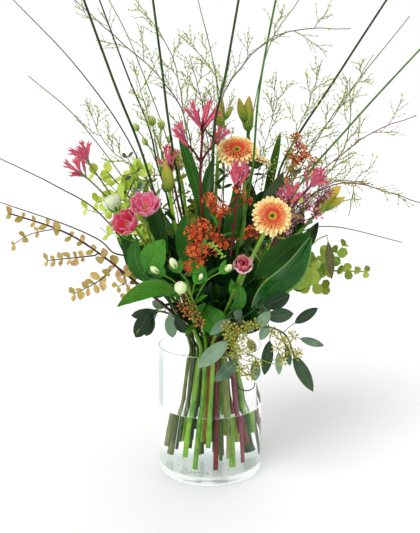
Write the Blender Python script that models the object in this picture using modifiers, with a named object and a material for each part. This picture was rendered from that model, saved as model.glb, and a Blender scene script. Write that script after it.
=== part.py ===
"""A mixed bouquet with gerberas, standing in a clear glass cylinder vase with water.

Metres, +Z up, the front towards -Y. The origin is the middle of the vase's underside.
Every stem runs straight from its foot to the tie, where the bunch is narrowest, and then
curves out to its flower. Below the tie the bunch is one shape turned and spread about its
axis, so no two stems meet. Above it, stems that come too close are eased apart.
"""

import math

import bmesh
import bpy
import numpy as np
from mathutils import Matrix, Vector, kdtree

# ---- driving dimensions -------------------------------------------------------------
VASE_RADIUS = 0.075
VASE_HEIGHT = 0.190
WALL = 0.004
BASE_THICKNESS = 0.013
FOOT_ROUNDING = 0.007
FLOOR_ROUNDING = 0.004
WATER_LEVEL = 0.100
GAP = 0.0003
TURN_STEPS = 40

TIE_HEIGHT = 0.165
TIE_RADIUS = 0.038
TIE_CENTRE = 0.004
SPREAD = 0.60
TWIST = -0.35
LOWEST_FOOT = 0.018
FOOT_STEP = 0.0085

CLEARANCE = 0.0036
EASING_ROUNDS = 90
SAMPLES = 72
STEM_STEP = 0.034
GRASS_STEP = 0.050
TWIG_SHOOTS = 6
LEAF_THICKNESS = 0.0009

# How far the pieces reach round their sample points, and the room that is kept between them
NEIGHBOUR_RANGE = 0.014
HEAD_REACH = 0.0022
LEAF_REACH = 0.0026
LEAST_ROOM = 0.0008
SWING_STEP = 32
SPIRAL_TURN = 2.4
RISE_ABOVE_TIE = 0.035

# Foot and tip radii of the plain stems, and the radii along the small side pieces
GRASS_RADII = (0.0016, 0.0007)
TWIG_RADII = (0.0019, 0.0006)
BRANCH_RADII = (0.0024, 0.0010)
PAW_TUBE_RADII = (0.0009, 0.0019, 0.0024, 0.0011)
PAW_FORK_RADII = [0.0017, 0.0015, 0.0014]
TWIG_SHOOT_RADII = (0.0007, 0.0006, 0.0006, 0.0004)
TWIG_SHOOT_LENGTH = 0.045
SMALL_FLOWER_RADIUS = 0.0030
SINGLE_BUD = (0.026, 0.0105)

# ---- stems: foot radius, tip radius, and the points from above the tie to the tip ------
FLOWER_STEMS = {
    "gerbera_front_stem": (0.0032, 0.0026, [(0.040, -0.055, 0.285), (0.058, -0.085, 0.335)]),
    "gerbera_top_stem": (0.0030, 0.0022, [(0.045, 0.005, 0.330), (0.048, 0.005, 0.425)]),
    "gerbera_back_stem": (0.0028, 0.0022, [(0.040, 0.045, 0.330), (0.050, 0.045, 0.415)]),
    "gerbera_left_stem": (0.0028, 0.0022, [(-0.028, 0.035, 0.330), (-0.040, 0.045, 0.415)]),
    "lisianthus_pink_stem": (0.0026, 0.0016, [(-0.065, -0.045, 0.305), (-0.086, -0.060, 0.345)]),
}
BUD_STEMS = {
    "lily_bud_middle": (0.0030, 0.0022, [(0.008, 0.020, 0.400), (0.014, 0.030, 0.498)], 0.042, 0.0072),
    "lily_bud_tall": (0.0034, 0.0024, [(0.052, 0.085, 0.380), (0.057, 0.100, 0.490)], 0.052, 0.0090),
    "lily_bud_right": (0.0032, 0.0024, [(0.095, -0.010, 0.315), (0.150, 0.010, 0.376)], 0.056, 0.0098),
    "lily_bud_left": (0.0032, 0.0024, [(-0.044, -0.020, 0.345), (-0.056, -0.020, 0.412)], 0.042, 0.0086),
}
PAW_STEMS = {
    "kangaroo_paw_top": (0.0028, 0.0020, [(-0.012, -0.030, 0.400), (-0.010, -0.020, 0.498)], 9, 0.040),
    "kangaroo_paw_left": (0.0024, 0.0016, [(-0.120, -0.010, 0.375), (-0.176, 0.030, 0.452)], 6, 0.028),
    "kangaroo_paw_centre": (0.0024, 0.0018, [(-0.040, 0.010, 0.370), (-0.056, 0.032, 0.442)], 6, 0.032),
    "kangaroo_paw_front": (0.0024, 0.0018, [(0.030, -0.050, 0.345), (0.037, -0.060, 0.428)], 6, 0.027),
    "kangaroo_paw_right": (0.0024, 0.0018, [(0.100, -0.035, 0.370), (0.140, -0.015, 0.420)], 6, 0.026),
}
CLUSTER_STEMS = {
    "milkweed_front": (0.0030, 0.0020, [(-0.012, -0.075, 0.300), (-0.015, -0.102, 0.350)], 12, 0.030),
    "milkweed_middle": (0.0030, 0.0020, [(0.010, -0.035, 0.330), (0.014, -0.055, 0.388)], 10, 0.026),
    "orange_spray": (0.0022, 0.0012, [(0.095, 0.040, 0.390), (0.128, 0.058, 0.462)], 12, 0.026),
    "waxflower": (0.0022, 0.0012, [(0.080, -0.010, 0.320), (0.130, 0.005, 0.384)], 12, 0.030),
    "lisianthus_buds_white": (0.0024, 0.0014, [(-0.014, -0.085, 0.250), (-0.032, -0.118, 0.304)], 6, 0.032),
    "lisianthus_buds_green": (0.0022, 0.0014, [(-0.066, 0.085, 0.400), (-0.083, 0.100, 0.478)], 5, 0.028),
    "lisianthus_bud_pink": (0.0024, 0.0018, [(0.028, -0.085, 0.275), (0.041, -0.122, 0.322)], 1, 0.0),
    "lisianthus_flower_white": (0.0024, 0.0016, [(-0.100, -0.030, 0.330), (-0.132, -0.030, 0.382)], 1, 0.0),
}
PAW_FORKS = {
    "kangaroo_paw_left": [(-0.132, -0.005, 0.388), (-0.158, -0.012, 0.418), (-0.180, -0.004, 0.436)],
    "kangaroo_paw_right": [(0.098, -0.036, 0.366), (0.103, -0.042, 0.384), (0.107, -0.044, 0.402)],
}
BRANCH_SIDES = {
    "eucalyptus_left": (
        ([(-0.147, -0.080, 0.333), (-0.171, -0.090, 0.332), (-0.213, -0.100, 0.329)], 4),
        ([(-0.128, -0.080, 0.317), (-0.145, -0.105, 0.303), (-0.176, -0.120, 0.289)], 4),
    ),
    "eucalyptus_right": (),
    "eucalyptus_seeded": (
        ([(0.045, -0.090, 0.243), (0.034, -0.102, 0.222), (0.024, -0.106, 0.202)], 2),
        ([(0.092, -0.102, 0.234), (0.100, -0.106, 0.215), (0.108, -0.108, 0.192)], 2),
    ),
    "eucalyptus_low": (),
    "lime_foliage": (
        ([(-0.120, 0.040, 0.400), (-0.108, 0.045, 0.425), (-0.098, 0.050, 0.444)], 3),
        ([(-0.112, 0.036, 0.390), (-0.135, 0.025, 0.395), (-0.160, 0.015, 0.392)], 3),
    ),
}
LEAVES = {
    # the finish, pairs of leaves on the branch, the share of its length where they start,
    # and the length and width of the lowest leaf
    "eucalyptus_left": ("olive", 8, 0.52, 0.019, 0.011),
    "eucalyptus_right": ("lime", 9, 0.48, 0.022, 0.020),
    "eucalyptus_seeded": ("grey_green", 5, 0.55, 0.046, 0.017),
    "eucalyptus_low": ("grey_green", 4, 0.60, 0.036, 0.019),
    "lime_foliage": ("lime", 6, 0.55, 0.026, 0.014),
}
GRASS = {
    "steel_grass_1": [(-0.085, -0.040, 0.445), (-0.125, -0.050, 0.555), (-0.195, -0.070, 0.760)],
    "steel_grass_2": [(-0.080, 0.070, 0.465), (-0.120, 0.080, 0.570), (-0.185, 0.100, 0.745)],
    "steel_grass_3": [(-0.055, 0.030, 0.480), (-0.067, 0.035, 0.575), (-0.088, 0.045, 0.740)],
    "steel_grass_4": [(-0.100, 0.060, 0.440), (-0.190, 0.100, 0.575), (-0.300, 0.120, 0.690)],
    "steel_grass_5": [(-0.137, -0.050, 0.372), (-0.200, -0.060, 0.420), (-0.290, -0.060, 0.465)],
    "steel_grass_6": [(-0.100, -0.070, 0.316), (-0.165, -0.080, 0.363), (-0.280, -0.090, 0.407)],
    "steel_grass_7": [(0.004, -0.042, 0.476), (0.020, -0.050, 0.565), (0.052, -0.070, 0.750)],
    "steel_grass_8": [(0.054, -0.045, 0.420), (0.066, -0.050, 0.558), (0.108, -0.035, 0.775)],
    "steel_grass_9": [(0.094, 0.055, 0.420), (0.190, 0.090, 0.575), (0.315, 0.115, 0.765)],
    "steel_grass_10": [(0.110, -0.010, 0.395), (0.193, 0.000, 0.500), (0.325, 0.005, 0.645)],
}
TWIGS = {
    "twig_1": [(-0.030, 0.095, 0.480), (-0.073, 0.105, 0.566), (-0.133, 0.115, 0.620),
               (-0.205, 0.115, 0.685)],
    "twig_2": [(-0.038, 0.040, 0.520), (-0.050, 0.050, 0.586), (-0.064, 0.050, 0.618),
               (-0.108, 0.040, 0.678)],
    "twig_3": [(0.007, 0.055, 0.493), (0.049, 0.065, 0.587), (0.106, 0.050, 0.630), (0.195, 0.030, 0.632)],
    "twig_4": [(0.128, 0.050, 0.388), (0.170, 0.050, 0.427), (0.198, 0.040, 0.485), (0.194, 0.020, 0.565)],
    "twig_5": [(0.110, 0.075, 0.385), (0.178, 0.085, 0.440), (0.239, 0.100, 0.486), (0.307, 0.100, 0.512)],
    "twig_6": [(0.120, 0.030, 0.375), (0.178, 0.000, 0.420), (0.217, -0.020, 0.419),
               (0.292, -0.020, 0.395)],
}
BRANCHES = {
    "eucalyptus_left": [(-0.092, -0.072, 0.288), (-0.156, -0.080, 0.342), (-0.199, -0.080, 0.367),
                        (-0.268, -0.070, 0.388)],
    "eucalyptus_right": [(0.078, 0.005, 0.265), (0.108, 0.010, 0.276), (0.156, 0.020, 0.291),
                         (0.228, 0.020, 0.291)],
    "eucalyptus_seeded": [(0.025, -0.070, 0.235), (0.060, -0.100, 0.243), (0.098, -0.102, 0.232),
                          (0.112, -0.102, 0.200)],
    "eucalyptus_low": [(-0.055, -0.030, 0.240), (-0.086, -0.025, 0.240), (-0.103, -0.030, 0.212)],
    "lime_foliage": [(-0.085, 0.030, 0.350), (-0.120, 0.040, 0.400), (-0.150, 0.045, 0.435)],
}
GERBERAS = {
    # centre of the flower, the way it faces, and its diameter
    "gerbera_front_head": ((0.079, -0.110, 0.388), (0.10, -0.90, 0.42), 0.055),
    "gerbera_top_head": ((0.037, -0.012, 0.465), (-0.02, -0.62, 0.78), 0.060),
    "gerbera_back_head": ((0.066, 0.055, 0.448), (0.30, 0.05, 0.95), 0.052),
    "gerbera_left_head": ((-0.048, 0.055, 0.446), (-0.15, -0.45, 0.88), 0.050),
}
OPEN_FLOWERS = {
    # base of the flower, the way it faces, its width and its depth
    "lisianthus_pink_low": ((-0.100, -0.076, 0.369), (-0.55, -0.66, 0.50), 0.034, 0.026),
    "lisianthus_pink_high": ((-0.086, -0.064, 0.386), (0.05, -0.60, 0.80), 0.036, 0.024),
}
LARGE_LEAVES = {
    # the midrib from base to tip, the way the upper side faces, the width, and the fold
    "lily_leaf_left": ([(-0.012, -0.012, 0.375), (-0.018, -0.008, 0.411), (-0.030, 0.000, 0.450),
                        (-0.043, 0.004, 0.488)], (0.35, -0.9, 0.1), 0.018, 0.25),
    "lily_leaf_right": ([(0.078, 0.052, 0.385), (0.087, 0.065, 0.413), (0.096, 0.078, 0.450),
                         (0.104, 0.084, 0.488)], (-0.3, -0.95, 0.1), 0.013, 0.25),
    "leaf_left_dark": ([(-0.068, -0.062, 0.285), (-0.086, -0.076, 0.318), (-0.102, -0.080, 0.340),
                        (-0.116, -0.084, 0.356)], (-0.45, -0.85, -0.1), 0.042, 0.18),
    "leaf_left_light": ([(-0.082, -0.104, 0.316), (-0.076, -0.114, 0.330), (-0.068, -0.120, 0.345),
                         (-0.058, -0.122, 0.360)], (-0.2, -0.95, 0.2), 0.034, 0.15),
    "leaf_rolled": ([(-0.046, -0.104, 0.284), (-0.068, -0.118, 0.292), (-0.092, -0.130, 0.287),
                     (-0.118, -0.134, 0.276)], (-0.05, -0.70, 0.70), 0.036, 0.22),
    "leaf_right_glossy": ([(0.060, -0.080, 0.262), (0.080, -0.098, 0.292), (0.108, -0.108, 0.322),
                           (0.131, -0.100, 0.360)], (0.35, -0.80, -0.45), 0.046, 0.18),
    "leaf_centre": ([(-0.008, -0.072, 0.262), (-0.001, -0.084, 0.250), (0.010, -0.092, 0.238),
                     (0.022, -0.094, 0.228)], (-0.1, -0.75, 0.65), 0.034, 0.15),
    "leaf_back_left": ([(-0.045, 0.070, 0.260), (-0.062, 0.094, 0.300), (-0.078, 0.110, 0.345),
                        (-0.092, 0.114, 0.385)], (-0.4, 0.85, -0.3), 0.050, 0.18),
    "leaf_back_right": ([(0.040, 0.070, 0.255), (0.060, 0.096, 0.290), (0.074, 0.114, 0.330),
                         (0.078, 0.120, 0.372)], (0.3, 0.9, -0.3), 0.050, 0.18),
}
CLUSTER_FINISHES = {
    "milkweed_front": "orange", "milkweed_middle": "orange", "orange_spray": "orange",
    "waxflower": "wax", "lisianthus_buds_white": "white", "lisianthus_buds_green": "white",
}
COLOURS = {
    "glass": (0.80, 0.87, 0.86), "water": (0.85, 0.92, 0.92), "gerbera": (0.95, 0.72, 0.42),
    "stem": (0.22, 0.36, 0.06), "lily": (0.45, 0.50, 0.10), "paw": (0.72, 0.20, 0.26),
    "pink": (0.85, 0.18, 0.36), "orange": (0.72, 0.20, 0.04), "wax": (0.55, 0.14, 0.24),
    "white": (0.75, 0.80, 0.45), "grass": (0.10, 0.16, 0.04), "twig": (0.20, 0.12, 0.08),
    "olive": (0.42, 0.38, 0.16), "lime": (0.42, 0.58, 0.12), "grey_green": (0.20, 0.30, 0.18),
    "leaf": (0.05, 0.20, 0.03),
}


# ---- scene -----------------------------------------------------------------------------
def clear_scene():
    for old in list(bpy.data.objects):
        bpy.data.objects.remove(old, do_unlink=True)


def new_collection(name):
    group = bpy.data.collections.new(name)
    bpy.context.scene.collection.children.link(group)
    return group


def material(finish, roughness=0.5):
    found = bpy.data.materials.get(finish)
    if found:
        return found
    made = bpy.data.materials.new(finish)
    made.use_nodes = True
    shader = made.node_tree.nodes["Principled BSDF"]
    shader.inputs["Base Color"].default_value = (*COLOURS[finish], 1.0)
    shader.inputs["Roughness"].default_value = roughness
    shader.inputs["Metallic"].default_value = 0.0
    if finish in ("glass", "water"):
        shader.inputs["Transmission Weight"].default_value = 1.0
        shader.inputs["Roughness"].default_value = 0.0
    return made


def add_object(name, mesh, group, finish):
    piece = bpy.data.objects.new(name, mesh)
    group.objects.link(piece)
    mesh.materials.clear()
    mesh.materials.append(material(finish))
    mesh.shade_smooth()
    mesh.set_sharp_from_angle(angle=math.radians(40))
    return piece


def evaluated_copy(piece):
    """The object's mesh with its modifiers applied, in world space."""
    bpy.context.view_layer.update()
    graph = bpy.context.evaluated_depsgraph_get()
    mesh = bpy.data.meshes.new_from_object(piece.evaluated_get(graph))
    mesh.transform(piece.matrix_world)
    return mesh


# ---- shapes ----------------------------------------------------------------------------
def turned(name, profile, group, finish, steps=TURN_STEPS):
    """Turns an open profile of (radius, height) once about Z."""
    shape = bmesh.new()
    points = [shape.verts.new((radius, 0.0, height)) for radius, height in profile]
    for first, second in zip(points, points[1:]):
        shape.edges.new((first, second))
    mesh = bpy.data.meshes.new(name)
    shape.to_mesh(mesh)
    shape.free()
    piece = add_object(name, mesh, group, finish)
    screw = piece.modifiers.new("turn", "SCREW")
    screw.steps = steps
    screw.render_steps = steps
    screw.use_merge_vertices = True
    screw.merge_threshold = 0.0001
    screw.use_normal_calculate = False
    return piece


def arc(centre, radius, start, end, count):
    """Points of a round edge, from one angle to another in degrees."""
    angles = np.radians(np.linspace(start, end, count))
    return [(centre[0] + radius * math.cos(a), centre[1] + radius * math.sin(a)) for a in angles]


def tubes_mesh(tubes, resolution):
    """Tapered tubes, each a list of points and a list of radii, as one welded mesh."""
    curve = bpy.data.curves.new("tubes", "CURVE")
    curve.dimensions = "3D"
    curve.bevel_depth = 1.0
    curve.bevel_resolution = resolution
    curve.use_fill_caps = True
    for points, radii in tubes:
        spline = curve.splines.new("POLY")
        spline.points.add(len(points) - 1)
        for knot, place, radius in zip(spline.points, points, radii):
            knot.co = (*place, 1.0)
            knot.radius = radius
    holder = bpy.data.objects.new("tubes", curve)
    bpy.context.scene.collection.objects.link(holder)
    mesh = evaluated_copy(holder)
    bpy.data.objects.remove(holder, do_unlink=True)
    shape = bmesh.new()
    shape.from_mesh(mesh)
    bmesh.ops.remove_doubles(shape, verts=shape.verts[:], dist=0.000005)
    bmesh.ops.recalc_face_normals(shape, faces=shape.faces[:])
    shape.to_mesh(mesh)
    shape.free()
    return mesh


def frame_of(direction, facing):
    """A turning matrix whose Y runs along direction and whose Z is as near facing as it can be."""
    along = Vector(direction).normalized()
    normal = Vector(facing)
    normal = normal - along * normal.dot(along)
    if normal.length < 1e-6:
        normal = along.orthogonal()
    normal.normalize()
    across = along.cross(normal)
    return Matrix((across, along, normal)).transposed().to_4x4()


def small_leaf(shape, base, direction, facing, length, width, sides=6):
    """A flat pointed oval with its base at a point, added to a bmesh."""
    ring = bmesh.ops.create_circle(shape, cap_ends=True, segments=sides, radius=0.5)["verts"]
    for vert in ring:
        reach = vert.co.y + 0.5
        vert.co = Vector((vert.co.x * width * 1.05, reach * length, -LEAF_THICKNESS / 2))
    face = next(f for f in ring[0].link_faces if len(f.verts) == sides)
    raised = bmesh.ops.extrude_face_region(shape, geom=[face])["geom"]
    top = [v for v in raised if isinstance(v, bmesh.types.BMVert)]
    for vert in top:
        vert.co.z += LEAF_THICKNESS
    place = Matrix.Translation(base) @ frame_of(direction, facing)
    bmesh.ops.transform(shape, matrix=place, verts=ring + top)


def fused(name, mesh, extras, group, finish):
    """One closed body: the mesh with every extra piece joined to it by a Boolean union."""
    piece = add_object(name, mesh, group, finish)
    for extra in extras:
        adder = add_object(name + "_added", extra, group, finish)
        union = piece.modifiers.new("join", "BOOLEAN")
        union.operation = "UNION"
        union.solver = "EXACT"
        union.use_self = True
        union.object = adder
        joined = evaluated_copy(piece)
        piece.modifiers.clear()
        piece.data = joined
        bpy.data.objects.remove(adder, do_unlink=True)
    return piece


# ---- routes ----------------------------------------------------------------------------
def smooth_route(knots, count):
    """Evenly spaced points on a Catmull-Rom curve through the knots."""
    ends = [2 * knots[0] - knots[1]] + knots + [2 * knots[-1] - knots[-2]]
    fine = []
    for i in range(len(knots) - 1):
        a, b, c, d = ends[i:i + 4]
        for s in np.linspace(0.0, 1.0, 40, endpoint=False):
            fine.append(0.5 * (2 * b + (c - a) * s + (2 * a - 5 * b + 4 * c - d) * s * s
                               + (3 * b - a - 3 * c + d) * s ** 3))
    fine.append(knots[-1])
    fine = np.array(fine)
    reach = np.concatenate([[0.0], np.cumsum(np.linalg.norm(np.diff(fine, axis=0), axis=1))])
    steps = np.linspace(0.0, reach[-1], count)
    return np.stack([np.interp(steps, reach, fine[:, k]) for k in range(3)], axis=1)


def tie_slots(count):
    """Even places for the stems in the tie, in the pattern of a sunflower's seeds."""
    turn = math.pi * (3 - math.sqrt(5))
    radii = [TIE_RADIUS * math.sqrt((i + 0.5) / count) for i in range(count)]
    return [np.array([TIE_CENTRE + r * math.cos(i * turn), r * math.sin(i * turn)])
            for i, r in enumerate(radii)]


def place_in_tie(paths):
    """Gives each stem the free slot nearest to the side that its flower leans to."""
    free = tie_slots(len(paths))
    wishes = {}
    for name, path in paths.items():
        lean = np.array(path[0][:2]) + 0.25 * np.array(path[-1][:2])
        reach = min(1.0, np.linalg.norm(lean) / 0.12)
        wishes[name] = lean / max(np.linalg.norm(lean), 1e-6) * TIE_RADIUS * reach
    places = {}
    for name in sorted(wishes, key=lambda n: -np.linalg.norm(wishes[n])):
        best = min(range(len(free)), key=lambda k: np.linalg.norm(free[k] - wishes[name]))
        places[name] = free.pop(best)
    return places


def below_tie(place, height):
    """Where a stem is at a height below the tie: its place there, spread and turned."""
    depth = (TIE_HEIGHT - height) / TIE_HEIGHT
    x, y = place
    grow = 1 + SPREAD * depth
    turn = TWIST * depth
    return Vector((grow * x - turn * y, grow * y + turn * x, height))


def same_plant(first, second):
    """Whether two nodes are a flower and its own stem, as their names say."""
    return first.rsplit("_", 1)[0] == second.rsplit("_", 1)[0]


def ease_apart(routes, radii, obstacles):
    """Moves the middles of the routes sideways until no two come closer than the clearance."""
    names = list(routes)
    points = np.array([routes[n] for n in names])
    thick = np.array([[radii[n][0]] * SAMPLES for n in names])
    count = points.shape[1]
    hold = np.sin(np.linspace(0.0, math.pi, count)) ** 0.35
    hold[:3] = 0.0
    hold[-2:] = 0.0
    for _ in range(EASING_ROUNDS):
        tree = kdtree.KDTree(len(names) * count + len(obstacles))
        for s in range(len(names)):
            for i in range(count):
                tree.insert(points[s, i], s * count + i)
        for k, (place, _, _) in enumerate(obstacles):
            tree.insert(place, len(names) * count + k)
        tree.balance()
        push = np.zeros_like(points)
        worst = 0.0
        for s, name in enumerate(names):
            for i in range(3, count - 2):
                here = points[s, i]
                for other, index, gap in tree.find_range(here, NEIGHBOUR_RANGE):
                    if index >= len(names) * count:
                        _, reach, owner = obstacles[index - len(names) * count]
                        if same_plant(owner, name):
                            continue
                        share = 1.0
                    else:
                        if index // count == s:
                            continue
                        reach = thick[index // count, 0]
                        share = 0.5
                    lack = thick[s, 0] + reach + CLEARANCE - gap
                    if lack > 0:
                        away = here - np.array(other)
                        away /= max(gap, 1e-6)
                        push[s, i] += away * lack * share
                        worst = max(worst, lack)
        if worst < GAP:
            break
        for _ in range(4):
            push[:, 1:-1] = (push[:, :-2] + 2 * push[:, 1:-1] + push[:, 2:]) / 4
        points += push * hold[None, :, None] * 0.9
        points[:, 1:-1] = 0.9 * points[:, 1:-1] + 0.05 * (points[:, :-2] + points[:, 2:])
    return {name: points[s] for s, name in enumerate(names)}


def stem_line(name, route, place, radii, index):
    """The whole stem as a tube: its foot, the tie, and then every few points of its route."""
    foot = below_tie(place, LOWEST_FOOT + FOOT_STEP * (index * 5 % 6))
    length = np.linalg.norm(np.diff(route, axis=0), axis=1).sum()
    parts = max(6, round(length / (GRASS_STEP if name in GRASS else STEM_STEP)))
    picked = [route[round(k * (SAMPLES - 1) / parts)] for k in range(parts + 1)]
    points = [foot] + [Vector(p) for p in picked]
    foot_radius, tip_radius = radii
    sizes = [foot_radius] + list(np.linspace(foot_radius, tip_radius, parts + 1))
    return points, sizes


def along(points, part):
    """A place on a line of points and the direction there, by the share of its length."""
    lengths = [(b - a).length for a, b in zip(points, points[1:])]
    left = part * sum(lengths)
    for a, b, length in zip(points, points[1:], lengths):
        if left <= length:
            break
        left -= length
    return a.lerp(b, min(1.0, left / length)), (b - a).normalized()


# ---- clearances ------------------------------------------------------------------------
class Crowd:
    """Sample points of everything that has its place, to keep later pieces clear of it."""

    def __init__(self):
        self.places = []
        self.reaches = []
        self.owners = []

    def add(self, owner, places, reach):
        for place in places:
            self.places.append(tuple(place))
            self.reaches.append(reach)
            self.owners.append(owner)

    def room(self, owner, places, reach):
        """The smallest gap between these points and everything of another owner."""
        mask = np.array([o != owner for o in self.owners])
        if not mask.any():
            return 1.0
        others = np.array(self.places)[mask]
        reaches = np.array(self.reaches)[mask]
        mine = np.array([tuple(p) for p in places])
        gaps = np.linalg.norm(others[None] - mine[:, None], axis=2) - reaches[None] - reach
        return float(gaps.min())


def line_samples(points, spacing=0.004):
    samples = []
    for a, b in zip(points, points[1:]):
        count = max(1, math.ceil((b - a).length / spacing))
        samples += [a.lerp(b, k / count) for k in range(count)]
    return samples + [points[-1]]


def mesh_samples(mesh):
    return [v.co.copy() for v in mesh.vertices] + [p.center.copy() for p in mesh.polygons]


def turned_until_clear(crowd, owner, base, axis, first, samples_of, reach, tries=10):
    """Turns a side piece about its stem, a step at a time, until it is clear of its neighbours."""
    for step in range(tries):
        swing = (step + 1) // 2 * (1 if step % 2 else -1) * math.radians(SWING_STEP)
        direction = Matrix.Rotation(swing, 3, axis) @ first
        samples = samples_of(direction)
        if crowd.room(owner, samples, reach) > LEAST_ROOM:
            crowd.add(owner, samples, reach)
            return direction
    return None


def side_tube(crowd, owner, base, axis, first, length, radii, bend=0.0):
    """A side twig of four points with the given radii, or nothing where there is no room."""
    def line(direction):
        return [base + direction * length * s + Vector((0, 0, bend * length * s * s))
                for s in (0.0, 0.4, 0.8, 1.0)]
    widest = max(radii)
    def samples(direction):
        return line_samples(line(direction), 0.003)[2:]
    direction = turned_until_clear(crowd, owner, base, axis, first, samples, widest)
    return (line(direction), radii) if direction else None


def side_leaf(crowd, owner, shape, base, axis, first, facing, length, width):
    """A small leaf on a stem, or nothing where there is no room. True when it was added."""
    def samples(direction):
        turn = frame_of(direction, facing).to_3x3()
        rows = max(3, round(length / 0.0045))
        columns = max(2, round(width / 0.0045))
        spots = []
        for row in range(1, rows + 1):
            share = row / rows
            half = 0.5 * width * math.sqrt(max(0.0, 1 - (2 * share - 1) ** 2))
            for column in range(columns + 1):
                spots.append(Vector((half * (2 * column / columns - 1), share * length, 0)))
        return [base + turn @ spot for spot in spots]
    direction = turned_until_clear(crowd, owner, base, axis, first, samples, LEAF_REACH)
    if direction:
        small_leaf(shape, base, direction, facing, length, width)
    return direction is not None


# ---- vase and water --------------------------------------------------------------------
def build_vase(group):
    inner = VASE_RADIUS - WALL
    lip = WALL / 2
    profile = [(0.0, BASE_THICKNESS)]
    profile += arc((inner - FLOOR_ROUNDING, BASE_THICKNESS + FLOOR_ROUNDING), FLOOR_ROUNDING, -90, 0, 3)
    profile += arc((VASE_RADIUS - lip, VASE_HEIGHT - lip), lip, 180, 0, 4)
    profile += arc((VASE_RADIUS - FOOT_ROUNDING, FOOT_ROUNDING), FOOT_ROUNDING, 0, -90, 4)
    profile.append((0.0, 0.0))
    return turned("vase", profile, group, "glass")


def build_water(group, stems):
    radius = VASE_RADIUS - WALL - GAP
    low = BASE_THICKNESS + GAP
    profile = [(0.0, WATER_LEVEL), (radius, WATER_LEVEL)]
    profile += arc((radius - FLOOR_ROUNDING, low + FLOOR_ROUNDING), FLOOR_ROUNDING, 0, -90, 3)
    profile.append((0.0, low))
    water = turned("water", profile, group, "water")
    cutters = new_collection("cutters")
    lines = []
    for points, sizes in stems:
        below = Vector(points[0])
        top = points[1]
        along_stem = (top - below).normalized()
        lines.append(([below - along_stem * 0.0012, top], [sizes[0] + 2 * GAP] * 2))
    cutter = add_object("stem_holes", tubes_mesh(lines, 1), cutters, "stem")
    cutter.hide_render = True
    cutter.display_type = "WIRE"
    cut = water.modifiers.new("stems", "BOOLEAN")
    cut.operation = "DIFFERENCE"
    cut.solver = "EXACT"
    cut.object = cutter
    return water


# ---- flowers and leaves ----------------------------------------------------------------
def gerbera_profile(radius):
    """The flower as a shallow dish of petals with its raised eye and the green cup behind."""
    return [(0.0, 0.0035), (radius * 0.34, 0.0040), (radius * 0.40, 0.0020), (radius, 0.0010),
            (radius * 0.98, -0.0010), (radius * 0.40, -0.0035), (0.0075, -0.0095), (0.0, -0.0100)]


def flower_profile(width, depth):
    """An open lisianthus as a rounded cup, with its mouth up."""
    half = width / 2
    return [(0.0, depth * 0.55), (half * 0.55, depth * 0.80), (half * 0.92, depth),
            (half, depth * 0.86), (half * 0.86, depth * 0.45), (half * 0.45, depth * 0.12),
            (0.0030, 0.0), (0.0, 0.0)]


def stand(piece, centre, facing):
    """Turns a piece so that its own Z looks along facing, at a place."""
    turn = Vector((0, 0, 1)).rotation_difference(Vector(facing).normalized())
    piece.matrix_world = Matrix.Translation(centre) @ turn.to_matrix().to_4x4()


def build_large_leaf(name, spec, group):
    midrib, facing, width, fold = spec
    rows = 6
    rib = [Vector(p) for p in smooth_route([np.array(p) for p in midrib], rows + 1)]
    shape = bmesh.new()
    bmesh.ops.create_grid(shape, x_segments=4, y_segments=rows, size=0.5)
    for vert in shape.verts:
        row = round((vert.co.y + 0.5) * rows)
        side = vert.co.x * 2
        step = rib[min(row + 1, rows)] - rib[max(row - 1, 0)]
        turn = frame_of(step, facing).to_3x3()
        part = row / rows
        half = width / 2 * max(0.10, math.sin(math.pi * (0.06 + 0.90 * part)) ** 0.75)
        vert.co = rib[row] + turn @ Vector((side * half, 0, abs(side) * half * fold))
    mesh = bpy.data.meshes.new(name)
    shape.to_mesh(mesh)
    shape.free()
    finish = "lily" if name.startswith("lily") else "leaf"
    leaf = add_object(name, mesh, group, finish)
    wall = leaf.modifiers.new("thickness", "SOLIDIFY")
    wall.thickness = LEAF_THICKNESS
    wall.offset = 0.0
    return leaf


def bud_line(points, sizes, length, width):
    """A stem that ends in a long bud: the bud's points and radii follow the stem's."""
    tip, direction = points[-1], (points[-1] - points[-2]).normalized()
    shares = (0.06, 0.22, 0.50, 0.80, 1.0)
    radii = (0.62, 0.95, 1.0, 0.62, 0.12)
    more = [tip + direction * length * s for s in shares]
    return points + more, sizes + [width * r for r in radii]


def paw_tubes(crowd, name, points, count, length):
    """The flower tubes of a kangaroo paw, spread like fingers from the end of a stem."""
    tip, direction = points[-1], (points[-1] - points[-2]).normalized()
    side = direction.orthogonal()
    tubes = []
    for i in range(count):
        spin = Matrix.Rotation(math.tau * i / count, 3, direction)
        first = (direction + spin @ side * (0.45 + 0.40 * (i % 2))).normalized()
        base = tip - direction * 0.004 * (i % 3)
        tubes.append(side_tube(crowd, name, base, direction, first, length, PAW_TUBE_RADII))
    return [t for t in tubes if t]


def cluster_tubes(crowd, name, points, count, length):
    """Small flowers or buds on side twigs over the last part of a stem."""
    sizes = {"lisianthus_buds_white": 0.0062, "lisianthus_buds_green": 0.0052}
    head = sizes.get(name, SMALL_FLOWER_RADIUS)
    radii = (0.0008, 0.0009, head, head * 0.35)
    tubes = []
    for i in range(count):
        base, axis = along(points, 1.0 - 0.16 * i / count)
        around = Matrix.Rotation(SPIRAL_TURN * i, 3, axis) @ axis.orthogonal()
        first = (axis * 0.8 + around).normalized()
        tubes.append(side_tube(crowd, name, base, axis, first, length, radii, 0.15))
    return [t for t in tubes if t]


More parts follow.
